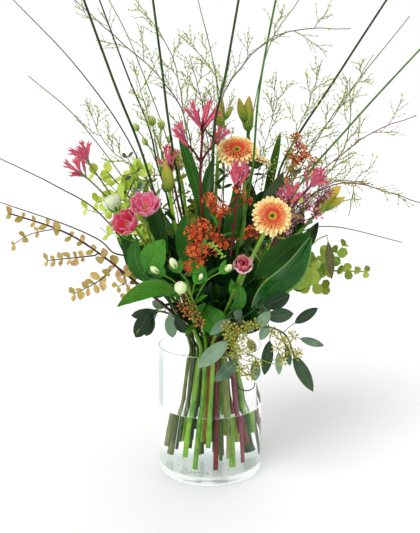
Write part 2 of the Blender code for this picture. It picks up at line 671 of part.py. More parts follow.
def leafy_branch(crowd, name, points, sizes, group):
    """A branch with pairs of small leaves along it and along its side branches."""
    finish, count, start, length, width = LEAVES[name]
    shape = bmesh.new()
    tubes = [(points, sizes)]
    lines = [(points, start, count)]
    for route, number in BRANCH_SIDES[name]:
        line = [Vector(p) for p in route]
        line[0], _ = along(points, line_share(points, line[0]))
        tubes.append((line, list(np.linspace(0.0011, 0.0006, len(line)))))
        crowd.add(name, line_samples(line)[2:], 0.0011)
        lines.append((line, 0.30, number))
    for line, first_share, number in lines:
        for i in range(number):
            share = first_share + (0.985 - first_share) * i / max(1, number - 1)
            base, axis = along(line, share)
            shrink = 1.0 - 0.45 * i / number
            for half in (0, 1):
                around = Matrix.Rotation(math.pi * half + 1.57 * (i % 2) + 0.4, 3, axis)
                first = (around @ axis.orthogonal() + axis * 0.35).normalized()
                side_leaf(crowd, name, shape, base, axis, first, (0.25, -1.0, 0.45),
                          length * shrink, width * shrink)
    leaves = bpy.data.meshes.new(name + "_leaves")
    shape.to_mesh(leaves)
    shape.free()
    stem = tubes_mesh(tubes[:1], 1)
    extras = [tubes_mesh(tubes[1:], 0)] if len(tubes) > 1 else []
    return fused(name, stem, extras + [leaves], group, finish)


def line_share(points, place):
    """The share of a line's length at which it is nearest to a place."""
    shares = np.linspace(0.0, 1.0, 200)
    return min(shares, key=lambda s: (along(points, s)[0] - place).length)


def forked_paw(crowd, name, stem, count, length, group):
    """A kangaroo paw: its stem, its fork if it has one, and the flower tubes at each end."""
    points, _ = stem
    extras = []
    sides = paw_tubes(crowd, name, points, count, length)
    if name in PAW_FORKS:
        fork = [Vector(p) for p in PAW_FORKS[name]]
        fork[0], _ = along(points, line_share(points, fork[0]))
        crowd.add(name, line_samples(fork)[2:], PAW_FORK_RADII[-1])
        extras.append(tubes_mesh([(fork, PAW_FORK_RADII)], 0))
        sides += paw_tubes(crowd, name, fork, count - 1, length * 0.9)
    return fused(name, tubes_mesh([stem], 1), extras + [tubes_mesh(sides, 0)], group, "paw")


def twig_sides(crowd, name, points, count):
    """Short alternate side shoots over the outer half of a twig."""
    tubes = []
    for i in range(count):
        base, axis = along(points, 0.52 + 0.44 * i / count)
        around = Matrix.Rotation(SPIRAL_TURN * i, 3, axis) @ axis.orthogonal()
        first = (around * 0.8 + axis).normalized()
        length = TWIG_SHOOT_LENGTH * (1 - 0.4 * i / count)
        tubes.append(side_tube(crowd, name, base, axis, first, length, TWIG_SHOOT_RADII))
    return [t for t in tubes if t]


# ---- the bouquet -----------------------------------------------------------------------
def gerbera_stem_end(head):
    """The end of a gerbera's stem: a small gap behind the cup of its flower, and a point before it."""
    centre, facing, _ = GERBERAS[head]
    back = Vector(facing).normalized()
    end = Vector(centre) - back * (0.0100 + 5 * GAP)
    return [tuple(end - back * 0.018 - Vector((0, 0, 0.004))), tuple(end)]


def all_paths():
    """Every stem's radii and the points that it passes above the tie."""
    paths = {}
    for name, (foot, tip, knots) in FLOWER_STEMS.items():
        if name.startswith("gerbera"):
            knots = knots + gerbera_stem_end(name.replace("_stem", "_head"))
        paths[name] = (foot, tip, knots)
    for table in (BUD_STEMS, PAW_STEMS, CLUSTER_STEMS):
        for name, row in table.items():
            paths[name] = row[:3]
    for name, knots in GRASS.items():
        paths[name] = (*GRASS_RADII, knots)
    for name, knots in TWIGS.items():
        paths[name] = (*TWIG_RADII, knots)
    for name, knots in BRANCHES.items():
        paths[name] = (*BRANCH_RADII, knots)
    return paths


def main():
    clear_scene()
    bouquet = new_collection("gerberas_in_a_vase")
    crowd = Crowd()

    for name, (centre, facing, diameter) in GERBERAS.items():
        head = turned(name, gerbera_profile(diameter / 2), bouquet, "gerbera", 20)
        stand(head, centre, facing)
        crowd.add(name, mesh_samples(evaluated_copy(head)), HEAD_REACH)
    for name, (base, facing, width, depth) in OPEN_FLOWERS.items():
        flower = turned(name, flower_profile(width, depth), bouquet, "pink", 20)
        stand(flower, base, facing)
        crowd.add(name, mesh_samples(evaluated_copy(flower)), HEAD_REACH)
    for name, spec in LARGE_LEAVES.items():
        leaf = build_large_leaf(name, spec, bouquet)
        crowd.add(name, mesh_samples(evaluated_copy(leaf)), LEAF_REACH)

    paths = all_paths()
    places = place_in_tie({name: row[2] for name, row in paths.items()})
    routes = {}
    for name, (_, _, knots) in paths.items():
        x, y = places[name]
        start = np.array([x, y, TIE_HEIGHT])
        rise = np.array([x, y, TIE_HEIGHT + RISE_ABOVE_TIE]) * np.array([0.98, 0.98, 1.0])
        routes[name] = smooth_route([start, rise] + [np.array(k) for k in knots], SAMPLES)
    obstacles = list(zip(crowd.places, crowd.reaches, crowd.owners))
    radii = {name: row[:2] for name, row in paths.items()}
    routes = ease_apart(routes, radii, obstacles)

    stems = {}
    for index, name in enumerate(paths):
        stems[name] = stem_line(name, routes[name], places[name], radii[name], index)
        points, sizes = stems[name]
        crowd.add(name, line_samples(points), max(sizes[1:]) * 0.9)

    for name in FLOWER_STEMS:
        add_object(name, tubes_mesh([stems[name]], 1), bouquet, "stem")
    for name, (_, _, _, length, width) in BUD_STEMS.items():
        add_object(name, tubes_mesh([bud_line(*stems[name], length, width)], 2), bouquet, "lily")
    for name, (_, _, _, count, length) in PAW_STEMS.items():
        forked_paw(crowd, name, stems[name], count, length, bouquet)
    for name, (_, _, _, count, length) in CLUSTER_STEMS.items():
        points, sizes = stems[name]
        if count == 1:
            points, sizes = bud_line(points, sizes, *SINGLE_BUD)
            add_object(name, tubes_mesh([(points, sizes)], 2), bouquet, "pink")
            continue
        sides = cluster_tubes(crowd, name, points, count, length)
        finish = CLUSTER_FINISHES[name]
        fused(name, tubes_mesh([(points, sizes)], 1), [tubes_mesh(sides, 0)], bouquet, finish)
    for name in GRASS:
        add_object(name, tubes_mesh([stems[name]], 1), bouquet, "grass")
    for name in BRANCHES:
        leafy_branch(crowd, name, *stems[name], bouquet)
    for name in TWIGS:
        points, sizes = stems[name]
        sides = twig_sides(crowd, name, points, TWIG_SHOOTS)
        fused(name, tubes_mesh([(points, sizes)], 1), [tubes_mesh(sides, 0)], bouquet, "twig")

    build_vase(bouquet)
    build_water(bouquet, stems.values())


main()
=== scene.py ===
# %% [markdown]
# # A mixed bouquet with gerberas in a clear cylinder vase
#
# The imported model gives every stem, flower, leaf and the vase its place and its size. It is
# loaded first and stays fixed. This script keeps those places and grows the real forms on
# them: petals in rows, veined leaves, woolly flower tubes, budded twigs, seeds, glass and
# water. All lengths are metres, Z is up, and the front of the bouquet faces -Y.

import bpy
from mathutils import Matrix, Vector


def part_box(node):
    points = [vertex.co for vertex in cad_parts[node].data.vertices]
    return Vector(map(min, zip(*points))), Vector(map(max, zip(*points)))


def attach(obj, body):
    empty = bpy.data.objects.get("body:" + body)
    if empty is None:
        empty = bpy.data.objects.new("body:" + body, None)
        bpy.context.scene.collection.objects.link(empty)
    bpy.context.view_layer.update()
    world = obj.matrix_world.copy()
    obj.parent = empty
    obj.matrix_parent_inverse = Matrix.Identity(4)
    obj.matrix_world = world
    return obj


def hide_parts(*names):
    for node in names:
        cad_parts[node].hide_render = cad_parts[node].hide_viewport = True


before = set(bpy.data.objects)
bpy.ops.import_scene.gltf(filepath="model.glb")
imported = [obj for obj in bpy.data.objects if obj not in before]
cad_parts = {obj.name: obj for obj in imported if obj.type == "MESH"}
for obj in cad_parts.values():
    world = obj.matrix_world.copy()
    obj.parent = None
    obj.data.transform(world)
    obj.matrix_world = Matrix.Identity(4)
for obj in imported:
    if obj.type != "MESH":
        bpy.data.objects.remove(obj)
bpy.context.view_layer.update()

import math
import random

import bmesh
import bpy
import numpy as np
from mathutils import Matrix, Vector, kdtree

# %% [markdown]
# ## Camera, floor and light
#
# A bouquet like this is sold from a white studio: everything round it is pale and the light is
# soft. The floor is a wide disc, so that no edge of it shows from any side. Panels close by
# would light the middle of that floor and leave its far side grey, so three far lamps with a
# wide spread light it evenly, under a pale sky.

# %% Camera
lens = bpy.data.cameras.new("studio_camera")
lens.lens = 58.97
lens.sensor_width = 36.0
camera = bpy.data.objects.new("studio_camera", lens)
bpy.context.scene.collection.objects.link(camera)
camera.location = (0.0, -1.22, 0.535)
camera.rotation_euler = (math.radians(90 - 10.8), 0.0, 0.0)
bpy.context.scene.camera = camera
bpy.context.scene.view_settings.view_transform = "Standard"
print("camera", tuple(round(x, 3) for x in camera.location))

# %% [markdown]
# Colours are written as the hex codes that a colour picker shows. Blender's shaders work in
# linear light, so one function turns the one into the other. Another adds a node to a
# material with its settings and its links, which keeps every material short to read.

# %% Colours and nodes
def hex_colour(code, alpha=1.0):
    """A hex code such as E8453A as linear red, green, blue and alpha."""
    shares = [int(code[i:i + 2], 16) / 255 for i in (0, 2, 4)]
    linear = [s / 12.92 if s <= 0.04045 else ((s + 0.055) / 1.055) ** 2.4 for s in shares]
    return (*linear, alpha)


def add_node(tree, kind, links=None, values=None, **settings):
    """Adds a shader node, sets its properties and values, and joins its inputs."""
    made = tree.nodes.new("ShaderNode" + kind)
    for name, setting in settings.items():
        setattr(made, name, setting)
    for socket, value in (values or {}).items():
        made.inputs[socket].default_value = value
    for socket, source in (links or {}).items():
        tree.links.new(source, made.inputs[socket])
    return made


def new_finish(name, **sockets):
    """A material with its node tree and its shader, whose even values are set straight on it."""
    made = bpy.data.materials.new(name)
    made.use_nodes = True
    shader = made.node_tree.nodes["Principled BSDF"]
    for socket, value in sockets.items():
        shader.inputs[socket.replace("_", " ")].default_value = value
    return made, made.node_tree, shader


def per_mm(size):
    """The texture scale whose features are about this many millimetres across."""
    return 1000.0 / size


# %% Floor, sky and lamps
def add_soft_sun(name, place, strength, spread):
    """Even light from one side. A wide spread, in degrees, gives shadows with soft edges."""
    lamp = bpy.data.lights.new(name, "SUN")
    lamp.energy = strength
    lamp.angle = math.radians(spread)
    holder = bpy.data.objects.new(name, lamp)
    holder.location = place
    holder.rotation_euler = Vector(place).to_track_quat("Z", "Y").to_euler()
    bpy.context.scene.collection.objects.link(holder)


paper, tree, shader = new_finish("matt_studio_paper", Roughness=0.9, Specular_IOR_Level=0.1)
place = add_node(tree, "TexCoord")
fibre = add_node(tree, "TexNoise", {"Vector": place.outputs["Object"]}, {"Scale": per_mm(400)})
tone = add_node(tree, "Mix", {0: fibre.outputs[0]}, data_type="RGBA")
tone.inputs[6].default_value = hex_colour("FAFAFA")
tone.inputs[7].default_value = hex_colour("FDFDFD")
tree.links.new(tone.outputs[2], shader.inputs["Base Color"])

disc = bmesh.new()
bmesh.ops.create_circle(disc, cap_ends=True, segments=96, radius=40.0)
bmesh.ops.translate(disc, verts=disc.verts, vec=(0.0, 0.0, -0.0002))
floor_mesh = bpy.data.meshes.new("studio_floor")
disc.to_mesh(floor_mesh)
disc.free()
studio_floor = bpy.data.objects.new("studio_floor", floor_mesh)
bpy.context.scene.collection.objects.link(studio_floor)
floor_mesh.materials.append(paper)

# The sky looks pure white to the camera and through glass. It lights the flowers at half that,
# so that the lamps can shape them, and it is dim in reflections, which keeps leaves and stems
# from greying over.
sky = bpy.data.worlds.new("studio_sky")
sky.use_nodes = True
ray = add_node(sky.node_tree, "LightPath")
seen = add_node(sky.node_tree, "Math", {0: ray.outputs["Is Camera Ray"],
                                        1: ray.outputs["Is Transmission Ray"]}, operation="MAXIMUM")
late = add_node(sky.node_tree, "Math", {0: ray.outputs["Ray Depth"]}, {1: 4.5},
                operation="GREATER_THAN")
seen = add_node(sky.node_tree, "Math", {0: seen.outputs[0], 1: late.outputs[0]},
                operation="MAXIMUM")
soft = add_node(sky.node_tree, "MapRange", {0: ray.outputs["Is Glossy Ray"]}, {3: 0.55, 4: 0.18})
power = add_node(sky.node_tree, "Math", {0: soft.outputs[0], 1: seen.outputs[0]},
                 operation="MAXIMUM")
sky.node_tree.nodes["Background"].inputs["Color"].default_value = (1.0, 1.0, 1.0, 1.0)
sky.node_tree.links.new(power.outputs[0], sky.node_tree.nodes["Background"].inputs["Strength"])
bpy.context.scene.world = sky
add_soft_sun("key_sun", (-0.8, -1.2, 1.5), 1.75, 35.0)
add_soft_sun("fill_sun", (1.5, -0.6, 0.9), 0.35, 60.0)
add_soft_sun("back_sun", (0.4, 1.4, 1.6), 0.60, 60.0)

# %% [markdown]
# ## Where every stem runs
#
# A hand-tied bunch is built in a spiral: the stems cross at the tie, spread out below it and
# fan out above it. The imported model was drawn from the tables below, and the same tables
# and rules are repeated here, because the fine stems have to lie inside the plain ones.
# Measuring the middle line of each packed tube would also work, but it would lose the exact
# places where the flowers join.

# %% Places in whole millimetres, and the sizes of the vase and the tie
def metres(table):
    """The same table with each place, three whole millimetres, in metres. The rest stays."""
    if isinstance(table, dict):
        return {name: metres(row) for name, row in table.items()}
    if isinstance(table, tuple) and len(table) == 3 and all(isinstance(c, int) for c in table):
        return tuple(c / 1000 for c in table)
    if isinstance(table, (list, tuple)):
        return type(table)(metres(row) for row in table)
    return table


VASE_RADIUS = 0.075
VASE_HEIGHT = 0.190
WALL = 0.004
BASE_THICKNESS = 0.013
FOOT_ROUNDING = 0.007
FLOOR_ROUNDING = 0.004
WATER_LEVEL = 0.100

TIE_HEIGHT = 0.165
TIE_RADIUS = 0.038
TIE_CENTRE = 0.004
SPREAD = 0.60
TWIST = -0.35
LOWEST_FOOT = 0.018
FOOT_STEP = 0.0085

CLEARANCE = 0.0036
CLOSE_ENOUGH = 0.0003
SEARCH_RADIUS = 0.014
EASING_ROUNDS = 90
SAMPLES = 72
# the radii at the foot and at the tip, and the room kept round leaves and flowers
GRASS_RADII = (0.0016, 0.0007)
TWIG_RADII = (0.0019, 0.0006)
BRANCH_RADII = (0.0024, 0.0010)
LEAF_BERTH = 0.0026
FLOWER_BERTH = 0.0022
CUP_DEPTH = 0.0115
# turns and steps that never repeat, as a sunflower's seeds have
GOLDEN_TURN = 2.4
GOLDEN_STEP = 0.618

# %% Stems with flowers: foot radius, tip radius, and the points from above the tie to the tip
FLOWER_STEMS = metres({
    "gerbera_front_stem": (0.0032, 0.0026, [(40, -55, 285), (58, -85, 335)]),
    "gerbera_top_stem": (0.0030, 0.0022, [(45, 5, 330), (48, 5, 425)]),
    "gerbera_back_stem": (0.0028, 0.0022, [(40, 45, 330), (50, 45, 415)]),
    "gerbera_left_stem": (0.0028, 0.0022, [(-28, 35, 330), (-40, 45, 415)]),
    "lisianthus_pink_stem": (0.0026, 0.0016, [(-65, -45, 305), (-86, -60, 345)]),
})
BUD_STEMS = metres({
    "lily_bud_middle": (0.0030, 0.0022, [(8, 20, 400), (14, 30, 498)], 0.042, 0.0072),
    "lily_bud_tall": (0.0034, 0.0024, [(52, 85, 380), (57, 100, 490)], 0.052, 0.0090),
    "lily_bud_right": (0.0032, 0.0024, [(95, -10, 315), (150, 10, 376)], 0.056, 0.0098),
    "lily_bud_left": (0.0032, 0.0024, [(-44, -20, 345), (-56, -20, 412)], 0.042, 0.0086),
})
PAW_STEMS = metres({
    "kangaroo_paw_top": (0.0028, 0.0020, [(-12, -30, 400), (-10, -20, 498)], 9, 0.040),
    "kangaroo_paw_left": (0.0024, 0.0016, [(-120, -10, 375), (-176, 30, 452)], 6, 0.028),
    "kangaroo_paw_centre": (0.0024, 0.0018, [(-40, 10, 370), (-56, 32, 442)], 6, 0.032),
    "kangaroo_paw_front": (0.0024, 0.0018, [(30, -50, 345), (37, -60, 428)], 6, 0.027),
    "kangaroo_paw_right": (0.0024, 0.0018, [(100, -35, 370), (140, -15, 420)], 6, 0.026),
})
CLUSTER_STEMS = metres({
    "milkweed_front": (0.0030, 0.0020, [(-12, -75, 300), (-15, -102, 350)]),
    "milkweed_middle": (0.0030, 0.0020, [(10, -35, 330), (14, -55, 388)]),
    "orange_spray": (0.0022, 0.0012, [(95, 40, 390), (128, 58, 462)]),
    "waxflower": (0.0022, 0.0012, [(80, -10, 320), (130, 5, 384)]),
    "lisianthus_buds_white": (0.0024, 0.0014, [(-14, -85, 250), (-32, -118, 304)]),
    "lisianthus_buds_green": (0.0022, 0.0014, [(-66, 85, 400), (-83, 100, 478)]),
    "lisianthus_bud_pink": (0.0024, 0.0018, [(28, -85, 275), (41, -122, 322)]),
    "lisianthus_flower_white": (0.0024, 0.0016, [(-100, -30, 330), (-132, -30, 382)]),
})
PAW_FORKS = metres({
    "kangaroo_paw_left": [(-132, -5, 388), (-158, -12, 418), (-180, -4, 436)],
    "kangaroo_paw_right": [(98, -36, 366), (103, -42, 384), (107, -44, 402)],
})

# %% Branches, leaves, grass and twigs
BRANCH_SIDES = metres({
    "eucalyptus_left": [[(-147, -80, 333), (-171, -90, 332), (-213, -100, 329)],
                        [(-128, -80, 317), (-145, -105, 303), (-176, -120, 289)]],
    "eucalyptus_right": [],
    "eucalyptus_seeded": [[(45, -90, 243), (34, -102, 222), (24, -106, 202)],
                          [(92, -102, 234), (100, -106, 215), (108, -108, 192)]],
    "eucalyptus_low": [],
    "lime_foliage": [[(-120, 40, 400), (-108, 45, 425), (-98, 50, 444)],
                     [(-112, 36, 390), (-135, 25, 395), (-160, 15, 392)]],
})
GRASS = metres({
    "steel_grass_1": [(-85, -40, 445), (-125, -50, 555), (-195, -70, 760)],
    "steel_grass_2": [(-80, 70, 465), (-120, 80, 570), (-185, 100, 745)],
    "steel_grass_3": [(-55, 30, 480), (-67, 35, 575), (-88, 45, 740)],
    "steel_grass_4": [(-100, 60, 440), (-190, 100, 575), (-300, 120, 690)],
    "steel_grass_5": [(-137, -50, 372), (-200, -60, 420), (-290, -60, 465)],
    "steel_grass_6": [(-100, -70, 316), (-165, -80, 363), (-280, -90, 407)],
    "steel_grass_7": [(4, -42, 476), (20, -50, 565), (52, -70, 750)],
    "steel_grass_8": [(54, -45, 420), (66, -50, 558), (108, -35, 775)],
    "steel_grass_9": [(94, 55, 420), (190, 90, 575), (315, 115, 765)],
    "steel_grass_10": [(110, -10, 395), (193, 0, 500), (325, 5, 645)],
})
TWIGS = metres({
    "twig_1": [(-30, 95, 480), (-73, 105, 566), (-133, 115, 620), (-205, 115, 685)],
    "twig_2": [(-38, 40, 520), (-50, 50, 586), (-64, 50, 618), (-108, 40, 678)],
    "twig_3": [(7, 55, 493), (49, 65, 587), (106, 50, 630), (195, 30, 632)],
    "twig_4": [(128, 50, 388), (170, 50, 427), (198, 40, 485), (194, 20, 565)],
    "twig_5": [(110, 75, 385), (178, 85, 440), (239, 100, 486), (307, 100, 512)],
    "twig_6": [(120, 30, 375), (178, 0, 420), (217, -20, 419), (292, -20, 395)],
})
BRANCHES = metres({
    "eucalyptus_left": [(-92, -72, 288), (-156, -80, 342), (-199, -80, 367), (-268, -70, 388)],
    "eucalyptus_right": [(78, 5, 265), (108, 10, 276), (156, 20, 291), (228, 20, 291)],
    "eucalyptus_seeded": [(25, -70, 235), (60, -100, 243), (98, -102, 232), (112, -102, 200)],
    "eucalyptus_low": [(-55, -30, 240), (-86, -25, 240), (-103, -30, 212)],
    "lime_foliage": [(-85, 30, 350), (-120, 40, 400), (-150, 45, 435)],
})
GERBERAS = metres({
    # centre of the flower, the way it faces, and its diameter
    "gerbera_front_head": ((79, -110, 388), (0.10, -0.90, 0.42), 0.055),
    "gerbera_top_head": ((37, -12, 465), (-0.02, -0.62, 0.78), 0.060),
    "gerbera_back_head": ((66, 55, 448), (0.30, 0.05, 0.95), 0.052),
    "gerbera_left_head": ((-48, 55, 446), (-0.15, -0.45, 0.88), 0.050),
})
OPEN_FLOWERS = metres({
    # base of the flower, the way it faces, its width and its depth
    "lisianthus_pink_low": ((-100, -76, 369), (-0.55, -0.66, 0.50), 0.034, 0.026),
    "lisianthus_pink_high": ((-86, -64, 386), (0.05, -0.60, 0.80), 0.036, 0.024),
})
LARGE_LEAVES = metres({
    # the midrib from base to tip, the way the upper side faces, the width and the fold; the
    # finish, the wave of the margin, the curl of the sides, and how far they roll in
    "lily_leaf_left": ([(-12, -12, 375), (-18, -8, 411), (-30, 0, 450), (-43, 4, 488)],
        (0.35, -0.9, 0.1), 0.018, 0.25, "lily_blade", 0.05, 0.10, 0.0),
    "lily_leaf_right": ([(78, 52, 385), (87, 65, 413), (96, 78, 450), (104, 84, 488)],
        (-0.3, -0.95, 0.1), 0.013, 0.25, "lily_blade", 0.05, 0.0, 0.0),
    "leaf_left_dark": ([(-68, -62, 285), (-86, -76, 318), (-102, -80, 340), (-116, -84, 356)],
        (-0.45, -0.85, -0.1), 0.042, 0.18, "dark_leaf_wax", 0.10, 0.15, 0.0),
    "leaf_left_light": ([(-82, -104, 316), (-76, -114, 330), (-68, -120, 345), (-58, -122, 360)],
        (-0.2, -0.95, 0.2), 0.034, 0.15, "bright_leaf_wax", 0.10, 0.0, 0.0),
    "leaf_rolled": ([(-46, -104, 284), (-68, -118, 292), (-92, -130, 287), (-118, -134, 276)],
        (-0.05, -0.70, 0.70), 0.036, 0.22, "bright_leaf_wax", 0.06, 0.2, 0.9),
    "leaf_right_glossy": ([(60, -80, 262), (80, -98, 292), (108, -108, 322), (131, -100, 360)],
        (0.35, -0.80, -0.45), 0.046, 0.18, "aspidistra_leaf", 0.05, 0.15, 0.0),
    "leaf_centre": ([(-8, -72, 262), (-1, -84, 250), (10, -92, 238), (22, -94, 228)],
        (-0.1, -0.75, 0.65), 0.034, 0.15, "bright_leaf_wax", 0.10, 0.2, 0.0),
    "leaf_back_left": ([(-45, 70, 260), (-62, 94, 300), (-78, 110, 345), (-92, 114, 385)],
        (-0.4, 0.85, -0.3), 0.050, 0.18, "dark_leaf_wax", 0.10, 0.10, 0.0),
    "leaf_back_right": ([(40, 70, 255), (60, 96, 290), (74, 114, 330), (78, 120, 372)],
        (0.3, 0.9, -0.3), 0.050, 0.18, "aspidistra_leaf", 0.08, 0.10, 0.0),
})

# %% [markdown]
# Below the tie the bunch is one shape, turned and spread about its axis. Above the tie each
# stem follows a smooth curve through its points. Stems that come too close are then pushed
# apart, a little at a time, until each has room.

# %% The routes
def smooth_route(knots, count):
    """Evenly spaced points on a Catmull-Rom curve through the knots."""
    ends = [2 * knots[0] - knots[1]] + knots + [2 * knots[-1] - knots[-2]]
    fine = []
    for i in range(len(knots) - 1):
        a, b, c, d = ends[i:i + 4]
        for s in np.linspace(0.0, 1.0, 40, endpoint=False):
            fine.append(0.5 * (2 * b + (c - a) * s + (2 * a - 5 * b + 4 * c - d) * s * s
                               + (3 * b - a - 3 * c + d) * s ** 3))
    fine.append(knots[-1])
    fine = np.array(fine)
    reach = np.concatenate([[0.0], np.cumsum(np.linalg.norm(np.diff(fine, axis=0), axis=1))])
    steps = np.linspace(0.0, reach[-1], count)
    return np.stack([np.interp(steps, reach, fine[:, k]) for k in range(3)], axis=1)


def tie_slots(count):
    """Even places for the stems in the tie, in the pattern of a sunflower's seeds."""
    turn = math.pi * (3 - math.sqrt(5))
    radii = [TIE_RADIUS * math.sqrt((i + 0.5) / count) for i in range(count)]
    return [np.array([TIE_CENTRE + r * math.cos(i * turn), r * math.sin(i * turn)])
            for i, r in enumerate(radii)]


def place_in_tie(paths):
    """Gives each stem the free slot nearest to the side that its flower leans to."""
    free = tie_slots(len(paths))
    wishes = {}
    for name, path in paths.items():
        lean = np.array(path[0][:2]) + 0.25 * np.array(path[-1][:2])
        reach = min(1.0, np.linalg.norm(lean) / 0.12)
        wishes[name] = lean / max(np.linalg.norm(lean), 1e-6) * TIE_RADIUS * reach
    places = {}
    for name in sorted(wishes, key=lambda n: -np.linalg.norm(wishes[n])):
        best = min(range(len(free)), key=lambda k: np.linalg.norm(free[k] - wishes[name]))
        places[name] = free.pop(best)
    return places


def below_tie(place, height):
    """Where a stem is at a height below the tie: its place there, spread and turned."""
    depth = (TIE_HEIGHT - height) / TIE_HEIGHT
    x, y = place
    grow = 1 + SPREAD * depth
    turn = TWIST * depth
    return Vector((grow * x - turn * y, grow * y + turn * x, height))


def same_plant(first, second):
    """Whether two nodes are a flower and its own stem, as their names say."""
    return first.rsplit("_", 1)[0] == second.rsplit("_", 1)[0]


def ease_apart(routes, radii, obstacles):
    """Moves the middles of the routes sideways until no two come closer than the clearance."""
    names = list(routes)
    points = np.array([routes[n] for n in names])
    thick = np.array([[radii[n][0]] * SAMPLES for n in names])
    count = points.shape[1]
    hold = np.sin(np.linspace(0.0, math.pi, count)) ** 0.35
    hold[:3] = 0.0
    hold[-2:] = 0.0
    for _ in range(EASING_ROUNDS):
        tree = kdtree.KDTree(len(names) * count + len(obstacles))
        for s in range(len(names)):
            for i in range(count):
                tree.insert(points[s, i], s * count + i)
        for k, (place, _, _) in enumerate(obstacles):
            tree.insert(place, len(names) * count + k)
        tree.balance()
        push = np.zeros_like(points)
        worst = 0.0
        for s, name in enumerate(names):
            for i in range(3, count - 2):
                here = points[s, i]
                for other, index, gap in tree.find_range(here, SEARCH_RADIUS):
                    if index >= len(names) * count:
                        _, reach, owner = obstacles[index - len(names) * count]
                        if same_plant(owner, name):
                            continue
                        share = 1.0
                    else:
                        if index // count == s:
                            continue
                        reach = thick[index // count, 0]
                        share = 0.5
                    lack = thick[s, 0] + reach + CLEARANCE - gap
                    if lack > 0:
                        away = here - np.array(other)
                        away /= max(gap, 1e-6)
                        push[s, i] += away * lack * share
                        worst = max(worst, lack)
        if worst < CLOSE_ENOUGH:
            break
        for _ in range(4):
            push[:, 1:-1] = (push[:, :-2] + 2 * push[:, 1:-1] + push[:, 2:]) / 4
        points += push * hold[None, :, None] * 0.9
        points[:, 1:-1] = 0.9 * points[:, 1:-1] + 0.05 * (points[:, :-2] + points[:, 2:])
    return {name: points[s] for s, name in enumerate(names)}


def gerbera_stem_end(head):
    """The end of a gerbera's stem: just behind the cup of its flower, and a point before it."""
    centre, facing, _ = GERBERAS[head]
    back = Vector(facing).normalized()
    end = Vector(centre) - back * CUP_DEPTH
    return [tuple(end - back * 0.018 - Vector((0, 0, 0.004))), tuple(end)]


def all_paths():
    """Every stem's radii and the points that it passes above the tie."""
    paths = {}
    for name, (foot, tip, knots) in FLOWER_STEMS.items():
        if name.startswith("gerbera"):
            knots = knots + gerbera_stem_end(name.replace("_stem", "_head"))
        paths[name] = (foot, tip, knots)
    for table in (BUD_STEMS, PAW_STEMS, CLUSTER_STEMS):
        for name, row in table.items():
            paths[name] = row[:3]
    for table, radii in ((GRASS, GRASS_RADII), (TWIGS, TWIG_RADII), (BRANCHES, BRANCH_RADII)):
        for name, knots in table.items():
            paths[name] = (*radii, knots)
    return paths

# %% [markdown]
# The same easing needs the same neighbours to keep clear of, so the corners and the middles
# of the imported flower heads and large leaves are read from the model.

# %% Ease the stems apart
def packed_points(name):
    """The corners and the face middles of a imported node."""
    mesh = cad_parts[name].data
    return [v.co.copy() for v in mesh.vertices] + [p.center.copy() for p in mesh.polygons]


paths = all_paths()
places = place_in_tie({name: row[2] for name, row in paths.items()})
routes = {}
for name, (_, _, knots) in paths.items():
    x, y = places[name]
    start = np.array([x, y, TIE_HEIGHT])
    rise = np.array([x, y, TIE_HEIGHT + 0.035]) * np.array([0.98, 0.98, 1.0])
    routes[name] = smooth_route([start, rise] + [np.array(k) for k in knots], SAMPLES)
obstacles = [(tuple(p), LEAF_BERTH if name in LARGE_LEAVES else FLOWER_BERTH, name)
             for table in (GERBERAS, OPEN_FLOWERS, LARGE_LEAVES)
             for name in table for p in packed_points(name)]
routes = ease_apart(routes, {name: row[:2] for name, row in paths.items()}, obstacles)

stems = {}
for index, name in enumerate(paths):
    foot = below_tie(places[name], LOWEST_FOOT + FOOT_STEP * (index * 5 % 6))
    tie = Vector(routes[name][0])
    line = [foot.lerp(tie, i / 12) for i in range(12)] + [Vector(p) for p in routes[name]]
    stems[name] = (line, paths[name][0], paths[name][1])
worst = max((Vector(routes[n][-1]) - Vector([max(lo, min(hi, c)) for lo, hi, c in
             zip(*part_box(n), routes[n][-1])])).length for n in GRASS)
print(len(stems), "stems; a grass tip lies at most", round(worst * 1000, 2), "mm off its node")

# %% [markdown]
# ## Tools for growing things
#
# Plants repeat themselves, so one petal or one leaf is shaped from a small grid and then
# copied many times, each copy turned a little differently. Each grid carries a UV map named
# `along`: U runs across the blade and V from its base to its tip, so that veins and colour
# follow every copy. A number named `shade` differs from copy to copy, and the finishes use
# it to vary the colour.

# %% Joining meshes, copies and tubes
def new_shape():
    shape = bmesh.new()
    shape.loops.layers.uv.new("along")
    shape.verts.layers.float.new("shade")
    return shape


def add_mesh(shape, part, matrix=None, finish=0, shade=None):
    """Adds a mesh to a shape: placed by a matrix, with one finish and one shade."""
    first_vert, first_face = len(shape.verts), len(shape.faces)
    shape.from_mesh(part)
    shape.verts.ensure_lookup_table()
    shape.faces.ensure_lookup_table()
    fresh = shape.verts[first_vert:]
    if matrix is not None:
        bmesh.ops.transform(shape, matrix=matrix, verts=fresh)
    if shade is not None:
        layer = shape.verts.layers.float["shade"]
        for vert in fresh:
            vert[layer] = shade
    for face in shape.faces[first_face:]:
        face.material_index = finish
    return fresh


def to_mesh(shape, name):
    mesh = bpy.data.meshes.new(name)
    shape.to_mesh(mesh)
    shape.free()
    return mesh


